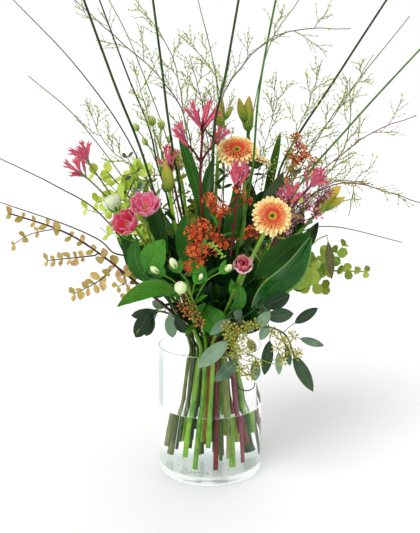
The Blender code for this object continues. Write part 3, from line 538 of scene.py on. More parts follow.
def tubes(lines, corners=6):
    """Tapered tubes as one mesh; each line is a list of points and a list of radii."""
    curve = bpy.data.curves.new("tubes", "CURVE")
    curve.dimensions = "3D"
    curve.bevel_depth = 1.0
    curve.bevel_resolution = max(0, (corners - 4) // 2)
    curve.use_fill_caps = True
    for points, radii in lines:
        spline = curve.splines.new("POLY")
        spline.points.add(len(points) - 1)
        for knot, place, radius in zip(spline.points, points, radii):
            knot.co = (*place, 1.0)
            knot.radius = radius
    holder = bpy.data.objects.new("tubes", curve)
    bpy.context.scene.collection.objects.link(holder)
    bpy.context.view_layer.update()
    graph = bpy.context.evaluated_depsgraph_get()
    mesh = bpy.data.meshes.new_from_object(holder.evaluated_get(graph))
    bpy.data.objects.remove(holder, do_unlink=True)
    for layer in mesh.uv_layers:
        layer.name = "along"
    shape = bmesh.new()
    shape.from_mesh(mesh)
    bmesh.ops.remove_doubles(shape, verts=shape.verts[:], dist=0.000003)
    bmesh.ops.recalc_face_normals(shape, faces=shape.faces[:])
    shape.to_mesh(mesh)
    shape.free()
    return mesh


def add_tube(shape, line, radii, corners=6, finish=0, shade=None):
    """One tube along a line, with a list of radii or the same one all along."""
    if isinstance(radii, float):
        radii = [radii] * len(line)
    add_mesh(shape, tubes([(line, radii)], corners), None, finish, shade)


def face_out(shape):
    """Turns the faces of a closed shape outwards."""
    if shape.calc_volume(signed=True) < 0:
        bmesh.ops.reverse_faces(shape, faces=shape.faces[:])


def blade(columns, rows, place, wall=0.0003):
    """A thin closed blade: a grid whose points go to place(across -1..1, along 0..1)."""
    shape = new_shape()
    bmesh.ops.create_grid(shape, x_segments=columns, y_segments=rows, size=0.5, calc_uvs=True)
    for vert in shape.verts:
        vert.co = place(2 * vert.co.x, vert.co.y + 0.5)
    bmesh.ops.solidify(shape, geom=shape.faces[:], thickness=wall)
    face_out(shape)
    return to_mesh(shape, "blade")


def ball(radius=1.0, detail=1, stretch=(1.0, 1.0, 1.0)):
    """A small seed, bud or drop."""
    shape = new_shape()
    bmesh.ops.create_icosphere(shape, subdivisions=detail, radius=radius, calc_uvs=True)
    bmesh.ops.scale(shape, verts=shape.verts, vec=stretch)
    return to_mesh(shape, "ball")


def frame_of(direction, facing):
    """A turning matrix whose Y runs along direction and whose Z is as near facing as it can be."""
    forward = Vector(direction).normalized()
    normal = Vector(facing)
    normal = normal - forward * normal.dot(forward)
    if normal.length < 1e-6:
        normal = forward.orthogonal()
    normal.normalize()
    across = forward.cross(normal)
    return Matrix((across, forward, normal)).transposed().to_4x4()


def stand(centre, direction, facing, size=1.0):
    """The matrix that puts a copy at a place, pointing and facing as asked."""
    return Matrix.Translation(centre) @ frame_of(direction, facing) @ Matrix.Scale(size, 4)


def upright(centre, facing, size=1.0):
    """The matrix that turns a copy's own Z towards facing, at a place."""
    turn = Vector((0, 0, 1)).rotation_difference(Vector(facing).normalized())
    return Matrix.Translation(centre) @ turn.to_matrix().to_4x4() @ Matrix.Scale(size, 4)


def aside_from(axis, angle):
    """A direction square to an axis, turned about it by an angle."""
    return Matrix.Rotation(angle, 3, axis) @ axis.orthogonal().normalized()


def level(turn):
    """The level direction at a turn about Z."""
    return Vector((math.cos(turn), math.sin(turn), 0))


def point_on(line, part):
    """A place on a line of points and the direction there, by the share of its length."""
    lengths = [(b - a).length for a, b in zip(line, line[1:])]
    left = part * sum(lengths)
    for a, b, length in zip(line, line[1:], lengths):
        if left <= length:
            break
        left -= length
    return a.lerp(b, min(1.0, left / max(length, 1e-9))), (b - a).normalized()


def curved(knots, count):
    """Evenly spaced points on a smooth curve through some knots."""
    return [Vector(p) for p in smooth_route([np.array(tuple(k)) for k in knots], count)]


def grown(name, shape, finishes, slot, *nodes):
    """Makes the finished piece, lets it ride on the bouquet, and hides the imported parts it replaces.
    """
    mesh = to_mesh(shape, name)
    for finish in finishes:
        mesh.materials.append(bpy.data.materials[finish])
    mesh.shade_smooth()
    mesh.set_sharp_from_angle(angle=math.radians(50))
    piece = bpy.data.objects.new(name, mesh)
    bpy.context.scene.collection.objects.link(piece)
    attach(piece, "root")
    if nodes:
        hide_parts(*nodes)
    return piece


# %% [markdown]
# ## Finishes
#
# A leaf is a thin waxy skin over green flesh: it has a soft gloss, paler veins and blotches a
# few millimetres across. Images of real leaves would show that too, but a pattern worked out
# from the leaf's own UV map stays sharp at any distance and fits every copy.

# %% Parts that the finishes share
def mixed(tree, factor, first, second):
    """A colour between two, where each may be a hex code or another node's colour."""
    made = add_node(tree, "Mix", data_type="RGBA")
    for socket, value in ((6, first), (7, second)):
        if isinstance(value, str):
            made.inputs[socket].default_value = hex_colour(value)
        else:
            tree.links.new(value, made.inputs[socket])
    if isinstance(factor, float):
        made.inputs[0].default_value = factor
    else:
        tree.links.new(factor, made.inputs[0])
    return made.outputs[2]


def sums(tree, operation, first, second=0.0, third=0.0, clamp=False):
    """One step of arithmetic on values that may be numbers or other nodes' outputs."""
    made = add_node(tree, "Math", operation=operation, use_clamp=clamp)
    for socket, value in enumerate((first, second, third)):
        if isinstance(value, (int, float)):
            made.inputs[socket].default_value = value
        else:
            tree.links.new(value, made.inputs[socket])
    return made.outputs[0]


def stretched(tree, value, low, high, to_low=0.0, to_high=1.0):
    """A value's range stretched to another, held at its ends."""
    made = add_node(tree, "MapRange", {0: value}, {1: low, 2: high, 3: to_low, 4: to_high})
    return made.outputs[0]


def pattern_inputs(tree):
    """Across and along the blade, the copy's own shade, and the object's coordinates."""
    map_node = add_node(tree, "UVMap", uv_map="along")
    split = add_node(tree, "SeparateXYZ", {0: map_node.outputs[0]})
    shade = add_node(tree, "Attribute", attribute_name="shade")
    place = add_node(tree, "TexCoord")
    return split.outputs[0], split.outputs[1], shade.outputs["Fac"], place.outputs["Object"]


def blotches(tree, place, size, detail=3.0):
    """Soft noise whose spots are about this many millimetres across."""
    made = add_node(tree, "TexNoise", {"Vector": place}, {"Scale": per_mm(size), "Detail": detail})
    return made.outputs[0]


def set_skin(tree, shader, colour, patch, low, high):
    """Joins the colour to the shader, and lets the roughness run from low to high in patches."""
    tree.links.new(colour, shader.inputs["Base Color"])
    tree.links.new(stretched(tree, patch, 0.3, 0.7, low, high), shader.inputs["Roughness"])


def along_tones(tree, noise, amount, shade, vary, along, turn, tones):
    """Three colours from base to tip, with borders that noise and the copy's shade move."""
    reach = sums(tree, "MULTIPLY_ADD", sums(tree, "SUBTRACT", noise, 0.5), amount, along)
    reach = sums(tree, "MULTIPLY_ADD", sums(tree, "SUBTRACT", shade, 0.5), vary, reach)
    colour = mixed(tree, stretched(tree, reach, 0.0, turn[0]), tones[0], tones[1])
    return mixed(tree, stretched(tree, reach, turn[0], turn[1]), colour, tones[2])


def add_bump(tree, shader, height, strength, depth):
    bump = add_node(tree, "Bump", {"Height": height}, {"Strength": strength, "Distance": depth})
    tree.links.new(bump.outputs[0], shader.inputs["Normal"])


# %% Leaves
def leaf_finish(name, deep, fresh, vein, veins="side", count=9, rough=0.42, show=0.35,
                edge=None, spots=7.0, flesh=0.12, tip=None, gloss=0.24):
    """Waxy leaf skin. Its veins are side veins off a midrib, or long parallel ones."""
    made, tree, shader = new_finish(name, Specular_IOR_Level=gloss, Subsurface_Weight=flesh,
                                    Subsurface_Scale=0.002)
    across, along, shade, place = pattern_inputs(tree)
    patch = blotches(tree, place, spots)
    blend = sums(tree, "MULTIPLY_ADD", patch, 0.9, sums(tree, "SUBTRACT", shade, 0.45), True)
    colour = mixed(tree, blend, deep, fresh)
    aside = sums(tree, "ABSOLUTE", sums(tree, "SUBTRACT", across, 0.5))
    rib = stretched(tree, aside, 0.0, 0.045, 1.0, 0.0)
    if veins == "side":
        phase = sums(tree, "MULTIPLY_ADD", aside, -0.9, along)
        wave = sums(tree, "SINE", sums(tree, "MULTIPLY", phase, math.tau * count))
    else:
        wave = sums(tree, "SINE", sums(tree, "MULTIPLY", across, math.tau * count))
    lines = stretched(tree, wave, 0.72, 1.0)
    net = sums(tree, "MAXIMUM", rib, sums(tree, "MULTIPLY", lines, 0.55))
    colour = mixed(tree, sums(tree, "MULTIPLY", net, show), colour, vein)
    if edge:
        rim = stretched(tree, aside, 0.40, 0.5, 0.0, 0.75)
        colour = mixed(tree, rim, colour, edge)
    if tip:
        end = sums(tree, "MULTIPLY", stretched(tree, along, 0.45, 1.0), 0.8)
        colour = mixed(tree, end, colour, tip)
    set_skin(tree, shader, colour, patch, rough - 0.08, rough + 0.10)
    fine = blotches(tree, place, 1.2)
    height = sums(tree, "MULTIPLY_ADD", fine, 0.25, sums(tree, "MULTIPLY", net, -0.8))
    add_bump(tree, shader, height, 0.35, 0.0006)


# Broad florist's greens (salal, ruscus): deep green with a satin wax gloss.
leaf_finish("dark_leaf_wax", "062A06", "1A5A10", "4E8A2C", "side", 9, 0.36, 0.30)
leaf_finish("bright_leaf_wax", "155A0C", "3F9420", "86B848", "side", 8, 0.38, 0.35)
# Painted shade: deep inside the bunch the same leaves get hardly any light, so this finish paints
# them nearly black.
leaf_finish("painted_shade_leaf_wax", "051E05", "124A0C", "2A5A18", "side", 9, 0.6, 0.25, gloss=0.08)
# Aspidistra and lily blades: parallel veins the length of the leaf, and a clear gloss.
leaf_finish("aspidistra_leaf", "06360A", "156A14", "3F8A28", "long", 11, 0.30, 0.30, edge="7FB254")
leaf_finish("lily_blade", "0E4A10", "2E7E1C", "6FAA3A", "long", 5, 0.38, 0.35)
# Dried gum: bleached by glycerine to straw and olive, dull, with browned tips.
leaf_finish("dried_gum_leaf", "9C9A38", "D9C07A", "A88650", "side", 5, 0.55, 0.30, spots=6.0,
            flesh=0.12, tip="C49470")
# Silver dollar gum: lime green under a fine bloom of wax that hides most of the gloss.
leaf_finish("lime_gum_leaf", "4F7F22", "A6C04A", "BFD07A", "side", 5, 0.5, 0.25, spots=8.0)
# Seeded gum: blue-green willow leaves with a pale rib and the same waxy bloom.
leaf_finish("grey_gum_leaf", "33543A", "7E9E80", "A9BB9A", "side", 10, 0.5, 0.35, spots=12.0)
leaf_finish("dark_gum_leaf", "16301A", "3E5E3E", "6E8A62", "side", 10, 0.45, 0.3, spots=12.0)
leaf_finish("brown_gum_leaf", "3E4426", "6E6E40", "8A8458", "side", 10, 0.5, 0.3, spots=12.0)
# Young sprays of filler: thin lime leaves that let light through.
leaf_finish("lime_sprig_leaf", "A4CA36", "D4EA6E", "E4F0A4", "side", 5, 0.45, 0.3, flesh=0.3)
print(len(bpy.data.materials), "finishes so far")

# %% [markdown]
# Petals are thinner than leaves and have no wax. Their colour runs from base to tip, faint
# lines follow their length, and light soaks into them.

# %% Petals
def petal_finish(name, base, middle, tip, lines, streaks=5, turn=(0.25, 0.65), rough=0.55,
                 flesh=0.22, rim=None, vary=0.16):
    """A petal whose colour runs base, middle, tip, with fine lines along it."""
    made, tree, shader = new_finish(name, Roughness=rough, Specular_IOR_Level=0.25,
                                    Subsurface_Weight=flesh, Subsurface_Scale=0.003,
                                    Sheen_Weight=0.15)
    across, along, shade, place = pattern_inputs(tree)
    soft = blotches(tree, place, 4.0)
    colour = along_tones(tree, soft, 0.35, shade, vary, along, turn, (base, middle, tip))
    wave = sums(tree, "SINE", sums(tree, "MULTIPLY", across, math.tau * streaks))
    streak = sums(tree, "MULTIPLY", stretched(tree, wave, 0.2, 1.0), 0.30)
    fade = sums(tree, "MULTIPLY", streak, stretched(tree, along, 0.95, 0.35))
    colour = mixed(tree, fade, colour, lines)
    if rim:
        aside = sums(tree, "ABSOLUTE", sums(tree, "SUBTRACT", across, 0.5))
        edge = sums(tree, "MAXIMUM", stretched(tree, aside, 0.36, 0.5),
                    stretched(tree, along, 0.86, 1.0))
        colour = mixed(tree, sums(tree, "MULTIPLY", edge, 0.8), colour, rim)
    tree.links.new(colour, shader.inputs["Base Color"])
    add_bump(tree, shader, sums(tree, "MULTIPLY", wave, 0.5), 0.3, 0.0004)


# Gerbera ray petals: salmon near the eye, cream at the tips. Their deep red base is partly the
# flower's own colour and partly painted shade for the gaps between the rows.
petal_finish("gerbera_ray_petal", "B8301A", "F28A4A", "FCE6A0", "EC8E50", 4, (0.40, 0.84), vary=0.3)
# The middle row stays salmon to its tips. Its dark rust base and lines are painted shade, for
# where it stands in the shade of the row outside it.
petal_finish("gerbera_middle_petal", "9A2410", "E85E2E", "FAB870", "C8441E", 4, (0.45, 1.08))
# The short inner petals of a double gerbera are coral throughout.
petal_finish("gerbera_inner_petal", "A81A16", "E63A2E", "F47A50", "C42C1E", 3, (0.35, 1.1))
# The cream ones in the back have hardly any salmon.
petal_finish("cream_ray_petal", "F2B45C", "FAD884", "FFF1BC", "F4CC80", 4, (0.20, 0.45))
# Lisianthus: satin petals, cerise with a pale rim, and a lighter rose.
petal_finish("cerise_petal", "F0A4B8", "D61848", "E63E6C", "B8103C", 7, (0.20, 0.80), rim="F6AEC4")
petal_finish("rose_petal", "F9D2DA", "EC5C90", "EE74A0", "D23A72", 7, (0.25, 0.85), rim="FAC0D6")
petal_finish("striped_bud_petal", "F0F0C8", "FBF0E4", "F8A8BE", "F4A0B8", 3, (0.45, 1.0))
petal_finish("green_white_petal", "9CC04E", "DDEFB4", "EEF7D2", "BEDA86", 5, (0.3, 0.8))
# Small stars of orange milkweed and of pink waxflower.
petal_finish("milkweed_petal", "9A240C", "D2481A", "EE7A2C", "A83010", 2, (0.35, 0.9), vary=0.7)
petal_finish("waxflower_petal", "A8345A", "DA7E9C", "F4C6D2", "C2597E", 2, (0.3, 0.8))
print(len(bpy.data.materials), "finishes so far")

# %% [markdown]
# Stems, buds and woolly tubes are round, so their patterns read object coordinates: a noise
# drawn out along Z makes the fine lines of a stem. Buds colour towards the tip, which their
# UV map gives.

# %% Stems, buds and seeds
def stem_finish(name, low, high, streak, rough=0.4, grain=(1.2, 14.0), hairy=0.0, gloss=0.4):
    """A round stem: two tones in long streaks, with a fine grain along it."""
    made, tree, shader = new_finish(name, Specular_IOR_Level=gloss, Sheen_Weight=hairy,
                                    Subsurface_Weight=0.05, Subsurface_Scale=0.002)
    across, along, shade, place = pattern_inputs(tree)
    squeeze = add_node(tree, "Mapping", {"Vector": place},
                       {"Scale": (1.0, 1.0, grain[0] / grain[1])})
    grains = blotches(tree, squeeze.outputs[0], grain[0], 4.0)
    patch = blotches(tree, place, 22.0)
    colour = mixed(tree, stretched(tree, patch, 0.35, 0.65), low, high)
    colour = mixed(tree, stretched(tree, grains, 0.5, 0.75, 0.0, 0.6), colour, streak)
    set_skin(tree, shader, colour, grains, rough - 0.06, rough + 0.12)
    add_bump(tree, shader, grains, 0.35, 0.0005)


stem_finish("green_stem", "3A7410", "74A61E", "9CBE46", 0.38)
stem_finish("lime_stem", "78AC14", "A8D028", "C4DC5A", 0.36)
stem_finish("yellow_green_stem", "7E9A1E", "A4AC30", "C0BE54", 0.42)
stem_finish("dark_green_stem", "123E0A", "2E6214", "5A8430", 0.38)
stem_finish("crimson_stem", "42060C", "720E18", "8E2A26", 0.35)
stem_finish("brown_stem", "6A2C0C", "9C501C", "B4723A", 0.5)
stem_finish("plum_stem", "2E1420", "54242C", "74423C", 0.5)
stem_finish("hairy_gerbera_stem", "5C941C", "8EBA36", "AECC62", 0.5, hairy=0.3)
# Steel grass: a stiff glossy rod, dark below and fresher green towards the tip.
stem_finish("steel_grass_rod", "13260A", "28460F", "4A7020", 0.36, (0.7, 20.0), gloss=0.25)
stem_finish("fresh_grass_rod", "2C5A12", "447A1C", "7CA238", 0.38, (0.7, 20.0), gloss=0.25)
stem_finish("twig_bark", "3C2A26", "5E4238", "7A5E4A", 0.6, (0.6, 6.0))
stem_finish("green_twig_bark", "4E5A2C", "7A8440", "96985A", 0.55, (0.6, 6.0))
stem_finish("red_twig_bark", "5A2630", "82404A", "9C5E5E", 0.55, (0.6, 6.0))


def bud_finish(name, base, middle, tip, spots, size, rough=0.45, woolly=0.0, flesh=0.15,
               turn=(0.35, 0.8)):
    """A bud or tube that colours from base to tip, with small blotches of another tone."""
    made, tree, shader = new_finish(name, Specular_IOR_Level=0.35, Sheen_Weight=woolly,
                                    Sheen_Roughness=0.4, Subsurface_Weight=flesh,
                                    Subsurface_Scale=0.003)
    across, along, shade, place = pattern_inputs(tree)
    patch = blotches(tree, place, size)
    colour = along_tones(tree, patch, 0.4, shade, 0.4, along, turn, (base, middle, tip))
    colour = mixed(tree, stretched(tree, patch, 0.52, 0.72, 0.0, 0.6), colour, spots)
    set_skin(tree, shader, colour, patch, rough - 0.05, rough + 0.1)
    fine = blotches(tree, place, 0.8 if woolly else 1.6)
    add_bump(tree, shader, fine, 0.7 if woolly else 0.2, 0.0006)


# Lily buds: smooth yellow-green with rust towards the tip.
bud_finish("lily_bud_skin", "558420", "98A634", "B4943A", "7E5A28", 9.0, 0.4, turn=(0.45, 1.0))
bud_finish("ripe_lily_bud_skin", "5C8A20", "A4A42A", "E2BE38", "A8401E", 7.0, 0.4, turn=(0.5, 0.9))
# Kangaroo paw: tubes covered in a short coral wool.
bud_finish("kangaroo_paw_wool", "BE3A52", "E4627C", "8E4660", "F08AA0", 1.5, 0.8, 0.4,
           turn=(0.35, 1.15))
bud_finish("round_white_bud", "9CBC58", "CFE0A0", "E6EEC6", "BCD084", 6.0, 0.45, 0.0, 0.25)
bud_finish("green_bud", "7F9E3A", "A9C45C", "CFDC8E", "8FAE48", 4.0)
bud_finish("lime_twig_bud", "8EAE2E", "B6D04E", "D2E07C", "9A8A3E", 3.0)
bud_finish("gum_seed", "8A9232", "C0B44E", "D8CC74", "9C7A34", 2.5, 0.55)
bud_finish("rust_bud", "9A6A24", "C88238", "DCB050", "A4481E", 2.0, 0.55)
bud_finish("coral_spray_bud", "B8481C", "EA6E38", "F49A5C", "C83A20", 2.0, 0.5)
bud_finish("gerbera_eye", "A8941E", "E2BE2C", "F4DC4E", "7A7A1C", 1.5, 0.7, 0.3, turn=(0.4, 0.9))
bud_finish("gerbera_cup_scale", "2E4A1C", "4E7228", "7C9A48", "35561E", 2.5, 0.55)
bud_finish("lisianthus_stamen", "C9A72C", "E6C83E", "F0DC70", "A87A22", 1.5)
print(len(bpy.data.materials), "finishes in all")

# %% [markdown]
# Clear soda-lime glass has an IOR of 1.52 and water 1.33. The glass is faintly grey-green
# where the eye looks along it, as at the rim and the thick base, which absorption in its
# volume gives. Glass also pipes light along its walls for more bounces than a render follows,
# so after five of them a ray goes straight on to the bright room instead of ending black.
# The dark specular tint takes away most of what the polished walls mirror face-on: a white
# floor before a vase would lay a grey haze over every dark stem, and a studio hides that with
# a dark card.

# %% Glass, water and air
def clear_finish(name, colour, ior, absorbed=None):
    """Clear and polished. Lamps shine straight through it, and so do rays that lose their way."""
    made, tree, shader = new_finish(name, Transmission_Weight=1.0, IOR=ior, Roughness=0.0,
                                    Specular_Tint=hex_colour("585A5B"))
    shader.inputs["Base Color"].default_value = hex_colour(colour)
    end = tree.nodes["Material Output"].inputs
    ray = add_node(tree, "LightPath")
    lit = sums(tree, "MAXIMUM", ray.outputs["Is Shadow Ray"], ray.outputs["Is Diffuse Ray"])
    late = sums(tree, "GREATER_THAN", ray.outputs["Ray Depth"], 4.5)
    lit = sums(tree, "MAXIMUM", lit, late)
    through = add_node(tree, "BsdfTransparent", None, {"Color": hex_colour("F6F8F7")})
    both = add_node(tree, "MixShader", {0: lit, 1: shader.outputs[0], 2: through.outputs[0]})
    tree.links.new(both.outputs[0], end["Surface"])
    if absorbed:
        tint = add_node(tree, "VolumeAbsorption", None,
                        {"Color": hex_colour(absorbed), "Density": 2.5})
        tree.links.new(tint.outputs[0], end["Volume"])


clear_finish("soda_lime_glass", "FFFFFF", 1.52, "C6CBCB")
clear_finish("tap_water", "FFFFFF", 1.33)
clear_finish("air_bubble", "FFFFFF", 0.75)

# %% [markdown]
# ## The vase and its water
#
# The vase is mouth-blown into a straight mould: even walls, a thick clear base with a rounded
# foot, and a fire-polished lip. Its profile is one line turned about the axis. It is turned
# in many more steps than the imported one, because glass shows every flat.

# %% A profile turned about Z
def arc(centre, radius, start, end, count):
    """Points of a round edge, from one angle to another in degrees."""
    angles = [math.radians(start + (end - start) * i / (count - 1)) for i in range(count)]
    return [(centre[0] + radius * math.cos(a), centre[1] + radius * math.sin(a)) for a in angles]


def turned_shape(profile, steps):
    """Spins a line of (radius, height) about Z into a closed shape."""
    shape = new_shape()
    line = [shape.verts.new((r, 0.0, z)) for r, z in profile]
    edges = [shape.edges.new(pair) for pair in zip(line, line[1:])]
    bmesh.ops.spin(shape, geom=line + edges, cent=(0, 0, 0), axis=(0, 0, 1),
                   angle=math.tau, steps=steps, use_merge=True)
    bmesh.ops.remove_doubles(shape, verts=shape.verts[:], dist=0.000002)
    bmesh.ops.recalc_face_normals(shape, faces=shape.faces[:])
    face_out(shape)
    return shape


inner = VASE_RADIUS - WALL
lip = WALL / 2
profile = [(0.0, BASE_THICKNESS - 0.0012), (inner * 0.6, BASE_THICKNESS - 0.0006)]
profile += arc((inner - FLOOR_ROUNDING, BASE_THICKNESS + FLOOR_ROUNDING), FLOOR_ROUNDING, -90, 0, 9)
profile += arc((VASE_RADIUS - lip, VASE_HEIGHT - lip), lip, 180, 0, 13)
profile += arc((VASE_RADIUS - FOOT_ROUNDING, FOOT_ROUNDING), FOOT_ROUNDING, 0, -90, 11)
profile.append((0.0, 0.0))
vase = grown("glass_cylinder_vase", turned_shape(profile, 160), ["soda_lime_glass"],
             "clear_glass", "vase")

# %% [markdown]
# The water fills the vase a little above half. It climbs the glass by a millimetre in a
# curved edge. Its side lies a hair inside the glass, so that no sheet of air is left between
# them, which would look like a mirror.

# %% Water with its curved edge
touch = inner + 0.00005
climb = [(touch - 0.0028 * (1 - i / 6), WATER_LEVEL + 0.0014 * (i / 6) ** 2.5) for i in range(7)]
profile = [(0.0, WATER_LEVEL)] + climb
profile += arc((touch - FLOOR_ROUNDING, BASE_THICKNESS + FLOOR_ROUNDING), FLOOR_ROUNDING, 0, -90, 9)
profile += [(inner * 0.6, BASE_THICKNESS - 0.00065), (0.0, BASE_THICKNESS - 0.00125)]
water = grown("still_water", turned_shape(profile, 160), ["tap_water"], "water", "water")
print("water", len(water.data.polygons), "faces")

# %% Air bubbles on the floor of the vase and below the water line
rng = random.Random(11)
shape = new_shape()
bubble = ball(1.0, 2)
for _ in range(34):
    turn = rng.uniform(0, math.tau)
    if rng.random() < 0.7:
        spot = Vector((rng.uniform(0.010, 0.062) * math.cos(turn),
                       rng.uniform(0.010, 0.062) * math.sin(turn), BASE_THICKNESS + 0.0014))
    else:
        spot = Vector((0.0695 * math.cos(turn), 0.0695 * math.sin(turn), rng.uniform(0.03, 0.09)))
    add_mesh(shape, bubble, Matrix.Translation(spot) @ Matrix.Scale(rng.uniform(0.0005, 0.0012), 4))
for k in range(9):
    spot = Vector((-0.040 + 0.0045 * k + rng.uniform(-0.002, 0.002),
                   -0.052 + rng.uniform(-0.004, 0.004), BASE_THICKNESS + 0.0028))
    add_mesh(shape, bubble, Matrix.Translation(spot) @ Matrix.Scale(rng.uniform(0.0014, 0.0026), 4))
grown("air_bubbles", shape, ["air_bubble"], "water")

# %% [markdown]
# ## Stems
#
# Real stems aren't smooth pipes. They swell where leaves were stripped off, and the cut ends
# are pale. Each stem is a tube whose radius rises a little at every node. A bevelled curve
# makes such a tube in one step and keeps it closed.

# %% A stem with swollen nodes
STOUT = 1.35


def stem_tube(line, foot, tip, spacing=0.038, swell=0.22):
    """A tapered tube along a line: stout below the tie, and thicker where leaves once grew."""
    total = sum((b - a).length for a, b in zip(line, line[1:]))
    gone, sizes = 0.0, []
    for i, place in enumerate(line):
        if i:
            gone += (place - line[i - 1]).length
        share = gone / total
        knot = math.exp(-((gone % spacing - spacing / 2) / (spacing * 0.09)) ** 2)
        stout = float(np.interp(place.z, (TIE_HEIGHT, TIE_HEIGHT + 0.14), (STOUT, 1.0)))
        sizes.append((foot + (tip - foot) * share) * stout * (1 + swell * knot))
    return line, sizes


def leaf_scar_stubs(shape, line, radius, count, seed):
    """Short stubs where leaves were stripped, between the foot and the tie."""
    rng = random.Random(seed)
    stubs = []
    for i in range(count):
        base, axis = point_on(line, 0.06 + 0.22 * (i + rng.random() * 0.5) / count)
        out = Matrix.Rotation(rng.uniform(0, math.tau), 3, axis) @ axis.orthogonal()
        end = base + out.normalized() * (radius + 0.0022) + axis * 0.002
        stubs.append(([base, end], [radius * 0.5, radius * 0.28]))
    add_mesh(shape, tubes(stubs, 4))


def end_way(line):
    """The direction in which a line ends."""
    return (line[-1] - line[-2]).normalized()


def stem_shape(name, spacing=0.038, swell=0.22, corners=10, slim=1.0):
    """A new shape that begins with a stem's tube, and the stem's line, foot and tip."""
    line, foot, tip = stems[name]
    shape = new_shape()
    add_tube(shape, *stem_tube(line, foot, tip * slim, spacing, swell), corners)
    return shape, line, foot, tip


STEM_LOOKS = {
    "hairy_gerbera_stem": ["gerbera_front_stem", "gerbera_top_stem", "gerbera_back_stem"],
    "lime_stem": ["gerbera_left_stem", "lily_bud_left", "lisianthus_flower_white"],
    "dark_green_stem": ["lily_bud_tall"],
    "crimson_stem": ["kangaroo_paw_top", "kangaroo_paw_centre", "kangaroo_paw_front",
                     "kangaroo_paw_right"],
    "green_twig_bark": ["kangaroo_paw_left"],
    "brown_stem": ["milkweed_front", "milkweed_middle"],
}


def stem_look(name):
    """The finish of a stem: the one that lists it, or else plain green."""
    return next((look for look, names in STEM_LOOKS.items() if name in names), "green_stem")


for name in ("gerbera_front_stem", "gerbera_top_stem", "gerbera_back_stem", "gerbera_left_stem"):
    line, foot, tip = stems[name]
    ends = line + [line[-1] + end_way(line) * 0.003]
    shape = new_shape()
    add_tube(shape, *stem_tube(ends, foot, tip, 0.06, 0.10), 12)
    leaf_scar_stubs(shape, line, foot, 2, len(name))
    grown("fresh_" + name, shape, [stem_look(name)], "gerbera_stem", name)
print("gerbera stems done")

# %% [markdown]
# ## Gerberas
#
# A gerbera looks like one flower but is hundreds: a ring of long ray petals, shorter rays
# inside them, and an eye of tiny tubes packed in a spiral. Behind sits a cup of pointed green
# scales. One petal is shaped from a grid, with a notched tip and two creases, and copied
# round in rows. Each row stands a little steeper and shorter than the one outside it.

# %% One ray petal
def ray_petal(length, width, arch, cup, notch=0.03):
    """A petal that lies along Y from the origin, arching back at its tip."""
    def place(u, v):
        grow = min(1.0, 0.42 + 1.25 * v) * (1 - 0.30 * max(0.0, v - 0.78) / 0.22)
        end = 1 - 0.10 * abs(u) ** 2.2 * v ** 6 - notch * math.exp(-(u / 0.22) ** 2) * v ** 8
        crease = 0.10 * math.cos(u * math.pi * 2.0) * min(1.0, 3 * v)
        height = arch * (v - 1.15 * v * v) * length + width * (cup * u * u + crease * 0.35)
        return Vector((u * width / 2 * grow, v * end * length, height))
    return blade(6, 9, place, 0.0004)


def floret(length, radius):
    """One tiny tube of the eye: a cone that opens a little at its top."""
    shape = new_shape()
    bmesh.ops.create_cone(shape, segments=6, radius1=radius * 0.5, radius2=radius, depth=length,
                          cap_ends=True, calc_uvs=True)
    bmesh.ops.translate(shape, verts=shape.verts, vec=(0, 0, length / 2))
    return to_mesh(shape, "floret")


def petal_ring(shape, part, count, radius, rise, tilt, finish, rng, matrix, offset=0.0):
    """Copies a petal round Z: its base at a radius and a height, tilted up by an angle."""
    for i in range(count):
        turn = math.tau * (i + offset) / count + rng.uniform(-0.035, 0.035)
        lean = math.radians(tilt + rng.uniform(-5, 5))
        size = rng.uniform(0.93, 1.05)
        local = (Matrix.Rotation(turn, 4, "Z") @ Matrix.Translation((0, radius, rise))
                 @ Matrix.Rotation(lean, 4, "X") @ Matrix.Rotation(rng.uniform(-0.16, 0.16), 4, "Y")
                 @ Matrix.Scale(size, 4))
        add_mesh(shape, part, matrix @ local, finish, rng.random())


